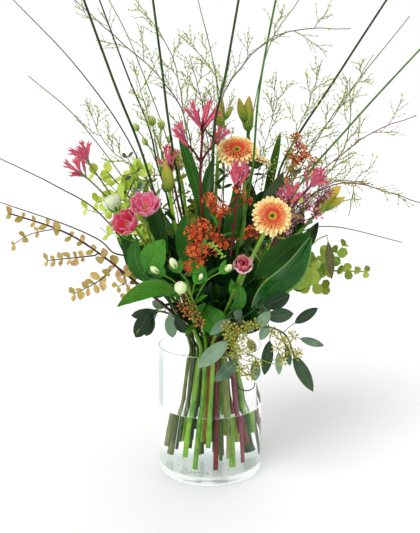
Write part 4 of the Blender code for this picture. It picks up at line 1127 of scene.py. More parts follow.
# %% A whole gerbera
def gerbera(name, looks, seed):
    centre, facing, diameter = GERBERAS[name]
    half = diameter / 2
    rng = random.Random(seed)
    place = upright(centre, facing)
    shape = new_shape()
    wide = half * 0.235
    # each row: its length and width, arch, cup, count, radius, rise, tilt, finish and offset
    for long, broad, arch, cup, count, radius, rise, tilt, finish, offset in (
            (0.74, 1.00, 0.14, 0.20, 24, 0.26, 0.0004, 1, 0, 0.0),
            (0.64, 0.80, 0.20, 0.30, 23, 0.25, 0.0018, 11, 0, 0.5),
            (0.44, 0.50, 0.24, 0.35, 24, 0.24, 0.0028, 24, 4, 0.25),
            (0.33, 0.44, 0.26, 0.35, 26, 0.23, 0.0032, 38, 4, 0.0),
            (0.25, 0.40, 0.30, 0.35, 28, 0.22, 0.0034, 50, 1, 0.5),
            (0.15, 0.30, 0.30, 0.35, 28, 0.19, 0.0036, 62, 1, 0.0)):
        petal = ray_petal(half * long, wide * broad, arch, cup)
        petal_ring(shape, petal, count, half * radius, rise, tilt, finish, rng, place, offset)
    tube = floret(0.0030, 0.0008)
    for i in range(150):
        spread = math.sqrt((i + 0.5) / 150)
        turn = i * math.pi * (3 - math.sqrt(5))
        spot = Vector((spread * half * 0.22 * math.cos(turn), spread * half * 0.22 * math.sin(turn),
                       0.0026 - 0.0012 * (1 - spread)))
        out = Vector((spot.x, spot.y, 0.010))
        add_mesh(shape, tube, place @ upright(spot, out, 0.75 + 0.5 * spread),
                 2 if spread > 0.42 else 3, spread)
    cup = turned_shape([(0.0, 0.0006), (half * 0.40, -0.0004), (half * 0.42, -0.0020),
                        (half * 0.26, -0.0066), (0.0068, -0.0094), (0.0034, -0.0104),
                        (0.0, -0.0106)], 28)
    add_mesh(shape, to_mesh(cup, "cup"), place, 3, 0.3)
    scale = blade(2, 5, lambda u, v: Vector((u * 0.0016 * (1 - v) ** 0.6, v * 0.0085,
                                             0.0006 * (1 - u * u) - 0.001 * v * v)), 0.0003)
    for row in range(3):
        for i in range(18):
            turn = math.tau * (i + row / 3) / 18
            out = level(turn)
            base = out * (0.0052 + 0.0014 * row) + Vector((0, 0, -0.0104 + 0.0024 * row))
            along = out * (0.55 + 0.18 * row) + Vector((0, 0, 0.62))
            add_mesh(shape, scale, place @ stand(base, along, out - Vector((0, 0, 0.6))), 3,
                     rng.random())
    return grown("double_" + name, shape, looks, "gerbera_petal", name)


warm = ["gerbera_ray_petal", "gerbera_inner_petal", "gerbera_eye", "gerbera_cup_scale",
        "gerbera_middle_petal"]
cream = ["cream_ray_petal", "cream_ray_petal", "gerbera_eye", "gerbera_cup_scale",
         "cream_ray_petal"]
for seed, (name, looks) in enumerate((("gerbera_front_head", warm), ("gerbera_top_head", warm),
                                      ("gerbera_back_head", cream), ("gerbera_left_head", cream))):
    flower = gerbera(name, looks, 20 + seed)
    print(flower.name, len(flower.data.polygons), "faces")

# %% [markdown]
# ## Lily buds
#
# A closed lily bud is three outer tepals pressed together, so it is softly three-sided with a
# groove at each seam. The bud is a ring drawn out along the stem's end, whose rings follow
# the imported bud's radii and are pulled in at the seams.

# %% A grooved bud on its stem
BUD_SHARES = (0.0, 0.03, 0.10, 0.22, 0.38, 0.52, 0.66, 0.80, 0.90, 0.97, 1.0)
BUD_RADII = (0.30, 0.60, 0.82, 0.97, 1.03, 1.0, 0.86, 0.62, 0.40, 0.20, 0.08)


def grooved_bud(length, width, seams=3, depth=0.13, corners=24, twist=0.25, bend=0.03,
                shares=BUD_SHARES, radii=BUD_RADII):
    """A closed bud along Z from the origin, with grooves where its tepals meet."""
    shape = new_shape()
    bmesh.ops.create_grid(shape, x_segments=corners, y_segments=22, size=0.5, calc_uvs=True)
    for vert in shape.verts:
        turn = math.tau * (vert.co.x + 0.5)
        along = vert.co.y + 0.5
        reach = width * float(np.interp(along, shares, radii))
        groove = 1 - depth * abs(math.cos(seams * (turn + twist * along) / 2)) ** 8
        side = bend * length * math.sin(math.pi * along)
        vert.co = (reach * groove * math.cos(turn) + side, reach * groove * math.sin(turn),
                   along * length)
    bmesh.ops.remove_doubles(shape, verts=shape.verts[:], dist=0.00002)
    bmesh.ops.holes_fill(shape, edges=[e for e in shape.edges if e.is_boundary], sides=0)
    bmesh.ops.recalc_face_normals(shape, faces=shape.faces[:])
    return to_mesh(shape, "bud")


def stalk_leaf(length, width, fold=0.25, droop=0.25, columns=4, rows=8):
    """A narrow pointed leaf along Y, folded along its rib and drooping at its tip."""
    def place(u, v):
        half = width / 2 * max(0.05, math.sin(math.pi * min(1.0, 0.05 + 0.95 * v)) ** 0.7)
        return Vector((u * half, v * length, fold * abs(u) * half - droop * length * v * v))
    return blade(columns, rows, place, 0.0004)


for seed, (name, row) in enumerate(BUD_STEMS.items()):
    length, width = row[3], row[4]
    skin = "ripe_lily_bud_skin" if name == "lily_bud_right" else "lily_bud_skin"
    shape, line, foot, tip = stem_shape(name, 0.05, 0.15, 12)
    ahead = end_way(line)
    leaf_scar_stubs(shape, line, foot, 3, seed + 3)
    bud = grooved_bud(length, width)
    rng = random.Random(seed + 40)
    spin = Matrix.Rotation(rng.uniform(0, math.tau), 4, "Z")
    add_mesh(shape, bud, upright(line[-1] - ahead * 0.001, ahead) @ spin, 1, 0.5)
    side_buds = {"lily_bud_tall": (0.72, -0.30), "lily_bud_right": (0.62, 0.45),
                 "lily_bud_middle": (0.5, 0.5)}
    if name in side_buds:
        size, lean = side_buds[name]
        out = (ahead + Vector((lean, -0.25, 0.0))).normalized()
        joint = line[-1] - ahead * 0.004
        neck = curved([joint, joint + ahead * 0.006 + out * 0.004, joint + out * 0.018], 6)
        add_tube(shape, neck, tip * 0.7, 8)
        add_mesh(shape, bud, upright(neck[-1] - out * 0.001, out, size) @ spin, 1, 0.2)
    leaf = stalk_leaf(0.045, 0.010)
    for k in range(5):
        base, axis = point_on(line, 0.70 + 0.06 * k)
        out = aside_from(axis, 2.3 * k + seed)
        add_mesh(shape, leaf, stand(base, axis * 0.9 + out * 0.7, -out + axis, rng.uniform(0.6, 0.9)),
                 2, rng.random())
    grown("fresh_" + name, shape, [stem_look(name), skin, "lily_blade"], "lily_bud", name)
print("lily buds done")

# %% [markdown]
# ## Kangaroo paws
#
# The flowers are woolly tubes set like fingers on a forked red stalk. Each opens at its end
# into six short pointed lobes. The tube is a tapered pipe that bends upwards; the lobes are
# small blades set round its mouth. The wool itself is far too fine to model, so the finish
# draws it with a rough bump and a sheen.

# %% One woolly tube with its claws
def paw_tube(length, thick, bend, rng):
    """A bent tube along Z with a lobed mouth."""
    shape = new_shape()
    shares = [i / 8 for i in range(9)]
    line = [Vector((bend * length * s * s, 0, length * s)) for s in shares]
    sizes = [thick * float(np.interp(s, (0, 0.12, 0.45, 0.8, 1), (0.45, 0.75, 1.0, 1.05, 0.85)))
             for s in shares]
    add_tube(shape, line, sizes, 8, 0, 0.2)
    ahead = end_way(line)
    claw = blade(2, 4, lambda u, v: Vector((u * thick * 0.55 * (1.02 - v) ** 0.6,
                                            v * thick * 3.4, 0.9 * thick * v * v)), 0.0003)
    for i in range(6):
        turn = math.tau * i / 6 + rng.uniform(-0.1, 0.1)
        out = level(turn)
        add_mesh(shape, claw, stand(line[-1] + out * thick * 0.55, ahead + out * 0.75, -out), 0, 0.9)
    return to_mesh(shape, "paw_tube")


def paw_cluster(shape, end, axis, count, length, seed):
    """Flower tubes spread from the last centimetres of a stalk, all curving upwards."""
    rng = random.Random(seed)
    side = axis.orthogonal().normalized()
    forms = [paw_tube(length * 0.58, 0.0022, b, rng) for b in (0.10, 0.22, 0.32)]
    for i in range(count):
        back = 0.0035 * (i % 4)
        out = Matrix.Rotation(math.tau * i / count + rng.uniform(-0.2, 0.2), 3, axis) @ side
        lean = 0.35 + 0.55 * ((i * 5) % count) / count
        way = (axis * (1.1 - 0.3 * lean) + out * lean + Vector((0, 0, 0.15))).normalized()
        base = end - axis * back
        neck = base + way * length * 0.28
        add_tube(shape, [base - axis * 0.002, base + way * length * 0.14, neck],
                 [0.0011, 0.0009, 0.0010])
        place = Matrix.Translation(neck - way * 0.0005) @ Vector((0, 0, 1)).rotation_difference(
            way).to_matrix().to_4x4() @ Matrix.Rotation(rng.uniform(0, math.tau), 4, "Z")
        add_mesh(shape, forms[i % 3], place, 1, rng.random())


for seed, (name, row) in enumerate(PAW_STEMS.items()):
    count, length = row[3], row[4]
    slim = 0.65 if name == "kangaroo_paw_left" else 0.85
    shape, line, foot, tip = stem_shape(name, 0.045, 0.15, 12, slim)
    leaf_scar_stubs(shape, line, foot, 3, seed + 60)
    paw_cluster(shape, line[-1], end_way(line), count + 4, length, seed + 70)
    if name in PAW_FORKS:
        fork = curved(PAW_FORKS[name], 10)
        nearest = min(line, key=lambda p: (p - fork[0]).length)
        fork[0] = nearest
        add_tube(shape, fork, 0.0012, 8)
        paw_cluster(shape, fork[-1], end_way(fork), count + 2, length * 0.9, seed + 80)
    if name == "kangaroo_paw_top":
        joint, axis = point_on(line, 0.90)
        for lean, reach in ((-0.8, 0.030), (0.7, 0.026)):
            end = joint + (axis + Vector((lean, -0.2, 0))).normalized() * reach
            fork = curved([joint, joint.lerp(end, 0.5) + axis * 0.002, end], 6)
            add_tube(shape, fork, 0.0015, 8)
            paw_cluster(shape, end, (end - joint).normalized(), 5, length * 0.8, seed + 90)
    grown("fresh_" + name, shape, [stem_look(name), "kangaroo_paw_wool"], "kangaroo_paw", name)
print("kangaroo paws done")

# %% [markdown]
# ## Lisianthus
#
# Lisianthus petals are broad, satin and a little ruffled, and they overlap in a spiral round
# a cup. One rule places every kind: a petal is a grid bent round the cup's side, and the cup
# may be open, half open or shut. The buds are the same petals wound tight.

# %% A cup of overlapping petals
def cup_flower(shape, matrix, count, width, depth, flare, wrap, ruffle, twist, seed, finish,
               height=1.0, lift=0.0):
    """Petals round a cup. flare is how far the rim opens; wrap is how wide each petal is."""
    rng = random.Random(seed)
    half = width / 2
    for i in range(count):
        turn = math.tau * i / count + rng.uniform(-0.08, 0.08)
        phase = rng.uniform(0, math.tau)
        tall = height * rng.uniform(0.94, 1.04)
        inward = 0.94 if i % 2 else 1.0

        def place(u, v):
            round_end = 1 - 0.16 * abs(u) ** 2.6 * v ** 3
            along = v * round_end
            cup = half * inward * (0.10 + 0.90 * math.sin(min(1.0, along * 1.25) * math.pi / 2))
            cup *= 1 + flare * max(0.0, along - 0.45) ** 1.5
            angle = turn + u * wrap * (0.55 + 0.45 * math.sin(math.pi * min(1, 0.15 + along * 0.8)))
            angle += twist * along + u * 0.05
            wave = ruffle * half * along ** 3 * math.sin(5.5 * u + phase)
            return Vector(((cup + wave + u * 0.05 * half) * math.cos(angle),
                           (cup + wave + u * 0.05 * half) * math.sin(angle),
                           lift + depth * tall * along ** 1.15 - 0.5 * flare * depth
                           * max(0.0, along - 0.55) ** 2))
        add_mesh(shape, blade(8, 9, place, 0.0003), matrix, finish, rng.random())


def stamens(shape, matrix, count, reach, finish):
    """Thin stalks with yellow ends, in the middle of an open flower."""
    lines = []
    grain = ball(0.0011, 1, (0.8, 0.8, 1.6))
    for i in range(count):
        turn = math.tau * i / count
        out = level(turn)
        end = out * 0.0035 + Vector((0, 0, reach))
        lines.append(([matrix @ Vector((0, 0, 0.002)), matrix @ end], [0.0004, 0.0003]))
        add_mesh(shape, grain, matrix @ Matrix.Translation(end), finish, 0.6)
    add_mesh(shape, tubes(lines, 4), None, finish, 0.2)


OPEN_CUPS = {
    # skin, outer row, the inner row's share of the width, inner row, stamens and their reach
    "lisianthus_pink_low": ("cerise_petal", (0.25, 0.72, 0.10, 0.25, 5, 0), 0.74,
                            (0.05, 0.72, 0.08, 0.3, 6, 0, 0.92, 0.001), 5, 0.62),
    "lisianthus_pink_high": ("rose_petal", (0.30, 0.70, 0.12, 0.2, 8, 0), 0.70,
                             (0.15, 0.70, 0.10, 0.3, 9, 0, 0.95, 0.001), 6, 0.75),
}
for name, (skin, outer_row, share, inner_row, count, reach) in OPEN_CUPS.items():
    base, facing, width, depth = OPEN_FLOWERS[name]
    shape = new_shape()
    place = upright(base, facing)
    cup_flower(shape, place, 6, width, depth, *outer_row)
    cup_flower(shape, place, 5, width * share, depth, *inner_row)
    stamens(shape, place, count, depth * reach, 1)
    grown("open_" + name, shape, [skin, "lisianthus_stamen"], "lisianthus_petal", name)


# %% Buds, sepals and their stems
def wound_bud(shape, matrix, width, depth, finish, seed, tight=0.0):
    """A closed or half-closed bud: petals wound round each other."""
    cup_flower(shape, matrix, 5, width, depth, tight - 0.75, 0.95, 0.02, 1.1, seed, finish)
    cup_flower(shape, matrix, 3, width * 0.62, depth, -0.9, 1.2, 0.02, 1.6, seed + 1, finish, 1.02)


sepal = blade(2, 5, lambda u, v: Vector((u * 0.0012 * (1.02 - v) ** 0.5, v * 0.011,
                                         -0.0012 * math.sin(v * math.pi))), 0.0003)


def sepals(shape, matrix, count, radius, finish, size=1.0):
    """Narrow pointed green sepals hugging the bottom of a bud."""
    for i in range(count):
        turn = math.tau * i / count
        out = level(turn)
        place = stand(out * radius * 0.3, out * 0.42 + Vector((0, 0, 1)), -out, size)
        add_mesh(shape, sepal, matrix @ place, finish, 0.5)


def side_stalks(shape, line, ends, radius, finish=0):
    """Thin stalks that leave a stem near its top and curve out to each end."""
    lines = []
    for k, end in enumerate(ends):
        base, axis = point_on(line, 0.80 + 0.15 * k / max(1, len(ends)))
        middle = base.lerp(Vector(end), 0.5) + axis * (Vector(end) - base).length * 0.18
        lines.append((curved([base, middle, end], 8), [radius] * 8))
    add_mesh(shape, tubes(lines, 6), None, finish)
    return [(points[-1], end_way(points)) for points, _ in lines]


shape, line, foot, tip = stem_shape("lisianthus_pink_stem")
side_stalks(shape, line, [base for base, _, _, _ in OPEN_FLOWERS.values()], 0.0013)
for base, facing, _, _ in OPEN_FLOWERS.values():
    sepals(shape, upright(base, Vector(facing).normalized()), 5, 0.004, 1, 1.1)
leaf = stalk_leaf(0.030, 0.012)
for k in range(6):
    base, axis = point_on(line, 0.62 + 0.06 * k)
    out = aside_from(axis, GOLDEN_TURN * k)
    add_mesh(shape, leaf, stand(base, axis + out, axis - out), 1, 0.2 + 0.1 * k)
grown("fresh_lisianthus_pink_stem", shape, ["green_stem", "bright_leaf_wax"],
      "lisianthus_stem", "lisianthus_pink_stem")

ROUND_SHARES = (0.0, 0.04, 0.15, 0.32, 0.50, 0.68, 0.84, 0.94, 1.0)
ROUND_RADII = (0.35, 0.58, 0.84, 0.99, 1.0, 0.90, 0.66, 0.38, 0.06)
LISIANTHUS_BUDS = metres({
    # each bud: its middle, its width, its height, and how far it has opened
    "lisianthus_bud_pink": ("striped_bud_petal", [((41, -130, 336), 0.025, 0.024, 0.25)]),
    "lisianthus_flower_white": ("green_white_petal", [
        ((-133, -32, 395), 0.026, 0.022, 0.55), ((-126, -60, 369), 0.014, 0.019, 0.0)]),
    "lisianthus_buds_white": ("round_white_bud", [
        ((-38, -130, 300), 0.0165, 0.017, 0.0),
        ((-47, -122, 330), 0.0100, 0.016, 0.0), ((-71, -121, 321), 0.0085, 0.014, 0.0),
        ((24, -122, 324), 0.0085, 0.012, 0.0), ((-12, -120, 312), 0.006, 0.010, 0.0)]),
    "lisianthus_buds_green": ("green_bud", [
        ((-87, 100, 505), 0.013, 0.016, 0.0), ((-72, 85, 500), 0.011, 0.014, 0.0),
        ((-110, 90, 496), 0.010, 0.013, 0.0), ((-60, 95, 478), 0.009, 0.012, 0.0),
        ((-98, 100, 474), 0.009, 0.012, 0.0)]),
})
for seed, (name, (skin, buds)) in enumerate(LISIANTHUS_BUDS.items()):
    shape, line, foot, tip = stem_shape(name)
    ends = []
    for middle, width, height, _ in buds:
        up = (Vector(middle) - line[-12]).normalized()
        ends.append(Vector(middle) - up * height * 0.5)
    if len(buds) == 1:
        ends[0] = line[-1]
    joints = side_stalks(shape, line, ends, 0.0008)
    for k, ((end, axis), (middle, width, height, opened)) in enumerate(zip(joints, buds)):
        up = (Vector(middle) - end).normalized()
        place = upright(end, up)
        if name == "lisianthus_bud_pink":
            place = upright(end, up + Vector((0.1, -0.9, 0.1)))
            cup_flower(shape, place, 5, width, height * 0.85, -0.1, 0.72, 0.08, 0.5, 4, 1)
            cup_flower(shape, place, 5, width * 0.66, height, -0.35, 0.85, 0.06, 1.1, 5, 3)
            cup_flower(shape, place, 3, width * 0.34, height, -0.3, 1.1, 0.04, 1.5, 6, 3)
        elif opened or name == "lisianthus_flower_white":
            wound_bud(shape, place, width, height, 1, seed * 9 + k, opened)
        else:
            shut = grooved_bud(height, width * 0.5, 5, 0.06, 20, 1.4, 0.0, ROUND_SHARES, ROUND_RADII)
            add_mesh(shape, shut, place, 1, 0.3 + 0.12 * k)
        sepals(shape, place, 5, width * 0.5, 2, height / 0.016)
        if name == "lisianthus_buds_white" and k:
            for side in (-1, 1):
                add_mesh(shape, leaf, stand(end - axis * 0.008, axis + Vector((side * 0.7, 0, 0.1)),
                                            (0.2 * side, -1.0, 0.3), 0.62), 2, 0.3 + 0.1 * k)
    for k in range(5):
        base, axis = point_on(line, 0.60 + 0.07 * k)
        out = aside_from(axis, GOLDEN_TURN * k + seed)
        add_mesh(shape, leaf, stand(base, axis + out, axis - out, 0.8), 2, 0.2 + 0.1 * k)
    grown("fresh_" + name, shape, [stem_look(name), skin, "bright_leaf_wax", "cerise_petal"],
          "lisianthus_bud", name)
print("lisianthus done")

# %% [markdown]
# ## Small flowers in clusters
#
# Milkweed, the rust spray and waxflower carry dozens of small flowers on hair-thin stalks.
# One star and one bud are modelled with only a few faces each, and then set on the ends of
# stalks that fan out from a joint, some open and some still shut.

# %% One star, and a fan of stalks
def small_star(petals, reach, width, curl):
    """A star of small petals facing Z, with a raised middle."""
    shape = new_shape()
    ray = blade(2, 3, lambda u, v: Vector((u * width / 2 * (0.5 + 1.2 * v) * (1.08 - v) ** 0.5,
                                           v * reach, curl * reach * v * v)), 0.0002)
    for i in range(petals):
        add_mesh(shape, ray, Matrix.Rotation(math.tau * i / petals, 4, "Z"), 0, 0.6)
    middle = ball(width * 0.42, 1, (1, 1, 0.9))
    add_mesh(shape, middle, Matrix.Translation((0, 0, width * 0.25)), 0, 0.95)
    return to_mesh(shape, "star")


def fan(shape, joint, axis, count, reach, spread, forms, finish, stalk, seed, thick=0.00035):
    """Stalks from one joint, each ending in a copied form that faces outwards."""
    rng = random.Random(seed)
    lines = []
    for i in range(count):
        share = (i + 0.5) / count
        swing = math.acos(1 - share * (1 - math.cos(spread)))
        out = aside_from(axis, i * GOLDEN_TURN)
        way = (axis * math.cos(swing) + out * math.sin(swing)).normalized()
        end = joint + way * reach * rng.uniform(0.7, 1.08)
        lines.append(([joint, joint.lerp(end, 0.5) + axis * reach * 0.06, end], [thick] * 3))
        form = forms[rng.randrange(len(forms))]
        size = rng.uniform(0.75, 1.15)
        add_mesh(shape, form, upright(end, way, size) @ Matrix.Rotation(rng.uniform(0, 6), 4, "Z"),
                 finish, rng.random())
    add_mesh(shape, tubes(lines, 4), None, stalk)


def clusters(shape, line, spots, count, reach, spread, forms, finish, stalk, seed, thick=0.0008,
             up=(0.0, -0.15, 1.0)):
    """Side twigs from a stem to each spot, with a fan of flowers on every one."""
    rng = random.Random(seed)
    twigs = []
    for k, spot in enumerate(spots):
        spot = Vector(spot)
        below = [p for p in line if p.z < spot.z - 0.012] or line[:3]
        base = min(below, key=lambda p: (p - spot).length)
        way = ((spot - base).normalized() * 0.7 + Vector(up) * 0.6).normalized()
        joint = spot - way * reach * 0.55
        middle = base.lerp(joint, 0.5) + Vector((0, 0, -0.10 * (joint - base).length))
        twigs.append((curved([base, middle, joint], 8), [thick * 1.2] * 4 + [thick * 0.9] * 4))
        fan(shape, joint, way, count, reach, spread, forms, finish, stalk, seed * 31 + k)
        if rng.random() < 0.7:
            side = (way + Vector((rng.uniform(-1, 1), -0.4, 0))).normalized()
            fan(shape, joint - way * 0.006, side, count // 2, reach * 0.8, spread * 0.7, forms,
                finish, stalk, seed * 37 + k)
    add_mesh(shape, tubes(twigs, 5), None, stalk)


# %% Milkweed in the middle, and the rust spray on the right
milkweed_forms = [small_star(5, 0.0034, 0.0024, 0.35), small_star(5, 0.0028, 0.0022, -0.4),
                  ball(0.0015, 1, (0.8, 0.8, 1.35)), ball(0.0012, 1, (0.8, 0.8, 1.4))]
narrow_leaf = stalk_leaf(0.034, 0.0075, 0.2, 0.3)


def leaves_up(shape, line, leaf, count, low, high, finish, seed, size=(0.7, 1.0), open_out=1.0):
    """Leaves up a stem in a spiral, the last ones near its end."""
    rng = random.Random(seed)
    for k in range(count):
        base, axis = point_on(line, low + (high - low) * k / max(1, count - 1))
        out = aside_from(axis, GOLDEN_TURN * k + seed)
        place = stand(base, axis + out * open_out, axis - out * 0.6, rng.uniform(*size))
        add_mesh(shape, leaf, place, finish, rng.random())


SPOTS = metres({
    "milkweed_front": [(-16, -113, 366), (-10, -112, 380), (-24, -110, 372), (-14, -116, 336),
        (-24, -112, 348), (-2, -112, 345), (-18, -114, 352), (-30, -106, 325)],
    "milkweed_middle": [(8, -60, 399), (18, -66, 392), (5, -96, 364), (50, -45, 404), (40, -52, 418),
        (16, -88, 352), (-2, -58, 408), (58, -60, 362)],
    "orange_spray": [(112, 40, 420), (120, 44, 438), (126, 50, 452), (131, 52, 470), (124, 50, 484),
        (138, 48, 458), (116, 46, 462), (142, 40, 436), (152, 36, 450)],
    "waxflower": [(113, 0, 378), (126, -8, 372), (140, 0, 392), (155, 6, 400), (132, 2, 404),
        (118, 6, 398), (150, -4, 380), (106, -10, 360), (165, 4, 412), (92, 10, 400)],
})
for seed, name in enumerate(("milkweed_front", "milkweed_middle")):
    shape, line, foot, tip = stem_shape(name)
    leaf_scar_stubs(shape, line, foot, 3, seed + 15)
    clusters(shape, line, SPOTS[name], 13, 0.0128, 1.3, milkweed_forms, 1, 1, seed + 3)
    leaves_up(shape, line, narrow_leaf, 9, 0.60, 0.93, 2, seed)
    grown("fresh_" + name, shape, [stem_look(name), "milkweed_petal", "bright_leaf_wax"],
          "milkweed_flower", name)

shape, line, foot, tip = stem_shape("orange_spray")
spray_forms = [ball(0.0018, 1, (0.8, 0.8, 1.5)), ball(0.0015, 1, (0.8, 0.8, 1.7)),
               small_star(4, 0.0034, 0.0026, 0.5)]
for finish, spots in ((3, SPOTS["orange_spray"][2:6]), (1, SPOTS["orange_spray"])):
    clusters(shape, line, spots, 12, 0.0105, 1.3, spray_forms, finish, 0, 8 + finish)
leaves_up(shape, line, narrow_leaf, 6, 0.55, 0.85, 2, 4)
grown("fresh_orange_spray", shape, ["brown_stem", "rust_bud", "bright_leaf_wax",
                                    "coral_spray_bud"],
      "orange_spray", "orange_spray")

# %% Waxflower with its needle leaves
needle = stalk_leaf(0.016, 0.0016, 0.1, 0.1, 2, 4)
shape, line, foot, tip = stem_shape("waxflower")
clusters(shape, line, SPOTS["waxflower"], 11, 0.0125, 1.1,
         [small_star(5, 0.0030, 0.0028, 0.25), ball(0.0014, 1, (0.85, 0.85, 1.2)),
          ball(0.0017, 1, (0.8, 0.8, 1.3))], 1, 0, 12)
leaves_up(shape, line, needle, 40, 0.50, 0.99, 2, 7, (0.7, 1.1), 0.7)
grown("fresh_waxflower", shape, ["red_twig_bark", "waxflower_petal", "bright_leaf_wax"],
      "waxflower", "waxflower")
print("clusters done")

# %% [markdown]
# ## Large leaves
#
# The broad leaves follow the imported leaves' midribs, with finer rows. A real leaf is never
# flat: its margin waves, its rib is a groove, and its tip curls. The grid gets all three in
# one formula, and a thin wall closes it.

# %% A broad leaf along its midrib
def broad_leaf(midrib, facing, width, fold, wave=0.06, curl=0.0, phase=0.0, rows=26, columns=14,
               base_share=0.06, roll=0.0, power=0.75):
    """A leaf whose midrib follows a smooth line; its sides fold, wave and may roll in."""
    rib = curved(midrib, rows + 1)
    shape = new_shape()
    bmesh.ops.create_grid(shape, x_segments=columns, y_segments=rows, size=0.5, calc_uvs=True)
    for vert in shape.verts:
        row = round((vert.co.y + 0.5) * rows)
        side = vert.co.x * 2
        step = rib[min(row + 1, rows)] - rib[max(row - 1, 0)]
        turn = frame_of(step, facing).to_3x3()
        along = row / rows
        half = width / 2 * max(0.05, math.sin(math.pi * (base_share + 0.93 * along)) ** power)
        ripple = wave * half * side * side * math.sin(7.5 * along + phase + 1.3 * (side > 0))
        groove = -0.03 * width * math.exp(-(side / 0.10) ** 2)
        rise = abs(side) * half * fold + ripple + groove + curl * half * side * side * along
        angle = roll * side * (1 - 0.4 * along)
        across = math.sin(angle) / max(1e-6, roll) * half if roll else side * half
        lifted = rise + ((1 - math.cos(angle)) / roll * half if roll else 0.0)
        vert.co = rib[row] + turn @ Vector((across, 0, lifted))
    bmesh.ops.solidify(shape, geom=shape.faces[:], thickness=0.0007)
    face_out(shape)
    return to_mesh(shape, "broad_leaf")


def petiole(shape, midrib, finish=0):
    """The short stalk that carries a leaf back into the bunch."""
    depth = 0.030
    start, ahead = Vector(midrib[0]), (Vector(midrib[1]) - Vector(midrib[0])).normalized()
    inside = Vector((start.x * 0.55, start.y * 0.55, start.z - depth))
    knots = [inside, start - ahead * depth * 0.3, start + ahead * 0.006]
    add_tube(shape, curved(knots, 8), 0.0013, 8, finish, 0.4)


for seed, (name, row) in enumerate(LARGE_LEAVES.items()):
    midrib, facing, width, fold, skin, wave, curl, roll = row
    shape = new_shape()
    slim = 0.62 if name.startswith("lily") else 0.80
    add_mesh(shape, broad_leaf(midrib, facing, width, fold, wave, curl, seed * 1.7, roll=roll,
                               power=slim), None, 0, 0.35 + 0.05 * (seed % 5))
    petiole(shape, midrib)
    slot = "lily_leaf" if name.startswith("lily") else "glossy_leaf"
    grown("waxy_" + name, shape, [skin], slot, name)
print("large leaves done")

# %% More broad leaves around the middle
EXTRA_LEAVES = metres([
    # midrib, the way the upper side faces, width, fold, finish
    ([(-86, -85, 300), (-94, -94, 318), (-98, -98, 340), (-94, -96, 358)],
     (-0.3, -0.95, 0.15), 0.024, 0.2, 1),
    ([(-30, -95, 310), (-22, -112, 322), (-12, -118, 320), (-4, -116, 312)],
     (-0.3, -0.9, 0.4), 0.016, 0.25, 1),
    ([(62, -62, 300), (90, -66, 326), (112, -70, 344), (134, -70, 362)],
     (0.2, -0.75, 0.6), 0.032, 0.15, 0),
    ([(30, -95, 262), (38, -112, 276), (40, -116, 290), (36, -114, 302)],
     (0.2, -0.95, 0.2), 0.016, 0.2, 1),
    ([(-60, -55, 330), (-68, -50, 360), (-80, -40, 392), (-88, -34, 414)],
     (-0.3, -0.9, 0.2), 0.022, 0.25, 0),
    ([(20, -30, 330), (30, -34, 370), (36, -30, 400), (34, -24, 424)],
     (0.1, -1.0, 0.1), 0.022, 0.25, 0),
    ([(-4, -20, 350), (-6, -10, 390), (-2, 4, 430), (6, 12, 458)],
     (0.1, -1.0, 0.1), 0.018, 0.25, 2),
    ([(60, 0, 350), (78, 2, 380), (92, 4, 410), (102, 2, 436)],
     (-0.2, -0.95, 0.3), 0.026, 0.15, 3),
    ([(-20, -60, 300), (-30, -66, 330), (-36, -64, 360), (-34, -56, 384)],
     (-0.1, -1.0, 0.2), 0.024, 0.2, 0),
    ([(40, 60, 330), (52, 80, 360), (58, 92, 392), (56, 98, 420)],
     (0.2, 0.9, 0.3), 0.030, 0.2, 0),
    ([(-20, 70, 300), (-22, 96, 335), (-18, 108, 370), (-10, 110, 402)],
     (-0.1, 0.95, 0.2), 0.036, 0.2, 1),
    ([(80, 40, 290), (106, 58, 318), (126, 66, 350), (138, 64, 378)],
     (0.6, 0.6, 0.4), 0.034, 0.2, 0),
    ([(-80, 30, 280), (-108, 40, 310), (-126, 48, 342), (-134, 50, 370)],
     (-0.7, 0.4, 0.5), 0.034, 0.2, 0),
    ([(-70, 0, 300), (-100, 4, 322), (-122, 4, 350), (-132, 0, 376)],
     (-0.7, -0.5, 0.5), 0.028, 0.2, 1),
    ([(86, 0, 300), (116, 6, 318), (140, 10, 342), (154, 12, 364)],
     (0.4, -0.7, 0.6), 0.026, 0.2, 0),
])
shape = new_shape()
for k, (midrib, facing, width, fold, finish) in enumerate(EXTRA_LEAVES):
    add_mesh(shape, broad_leaf(midrib, facing, width, fold, 0.10, 0.1, k * 2.1, 18, 8, power=0.8),
             None, finish, (k * 0.37) % 1.0)
    petiole(shape, midrib, finish=finish)
grown("more_broad_leaves", shape, ["dark_leaf_wax", "bright_leaf_wax", "lily_blade",
                                   "dark_gum_leaf"], "glossy_leaf")

# %% [markdown]
# ## Eucalyptus and other leafy branches
#
# Gum leaves sit in pairs, each pair turned a quarter from the last. The dried branch has
# small straw-coloured coins, the one on the right round lime leaves that overlap, and the
# seeded one long grey-green leaves with clusters of seed. One rule sets pairs along a
# branch; the leaf form and its size change.

# %% Leaf forms, round and long
def round_leaf(length, width, cup=0.12, point=0.0, bend=0.05, columns=4, rows=6, wall=0.0004):
    """A round or oval leaf on a short stalk, lying along Y."""
    def place(u, v):
        open_part = max(0.0, v - 0.12) / 0.88
        oval = math.sin(math.pi * min(1.0, 0.03 + 0.97 * open_part)) ** (0.5 + point)
        half = max(0.0005, width / 2 * oval) if v > 0.12 else 0.0005
        return Vector((u * half, v * length, cup * abs(u) * half - bend * length * v * v))
    return blade(columns, rows, place, wall)


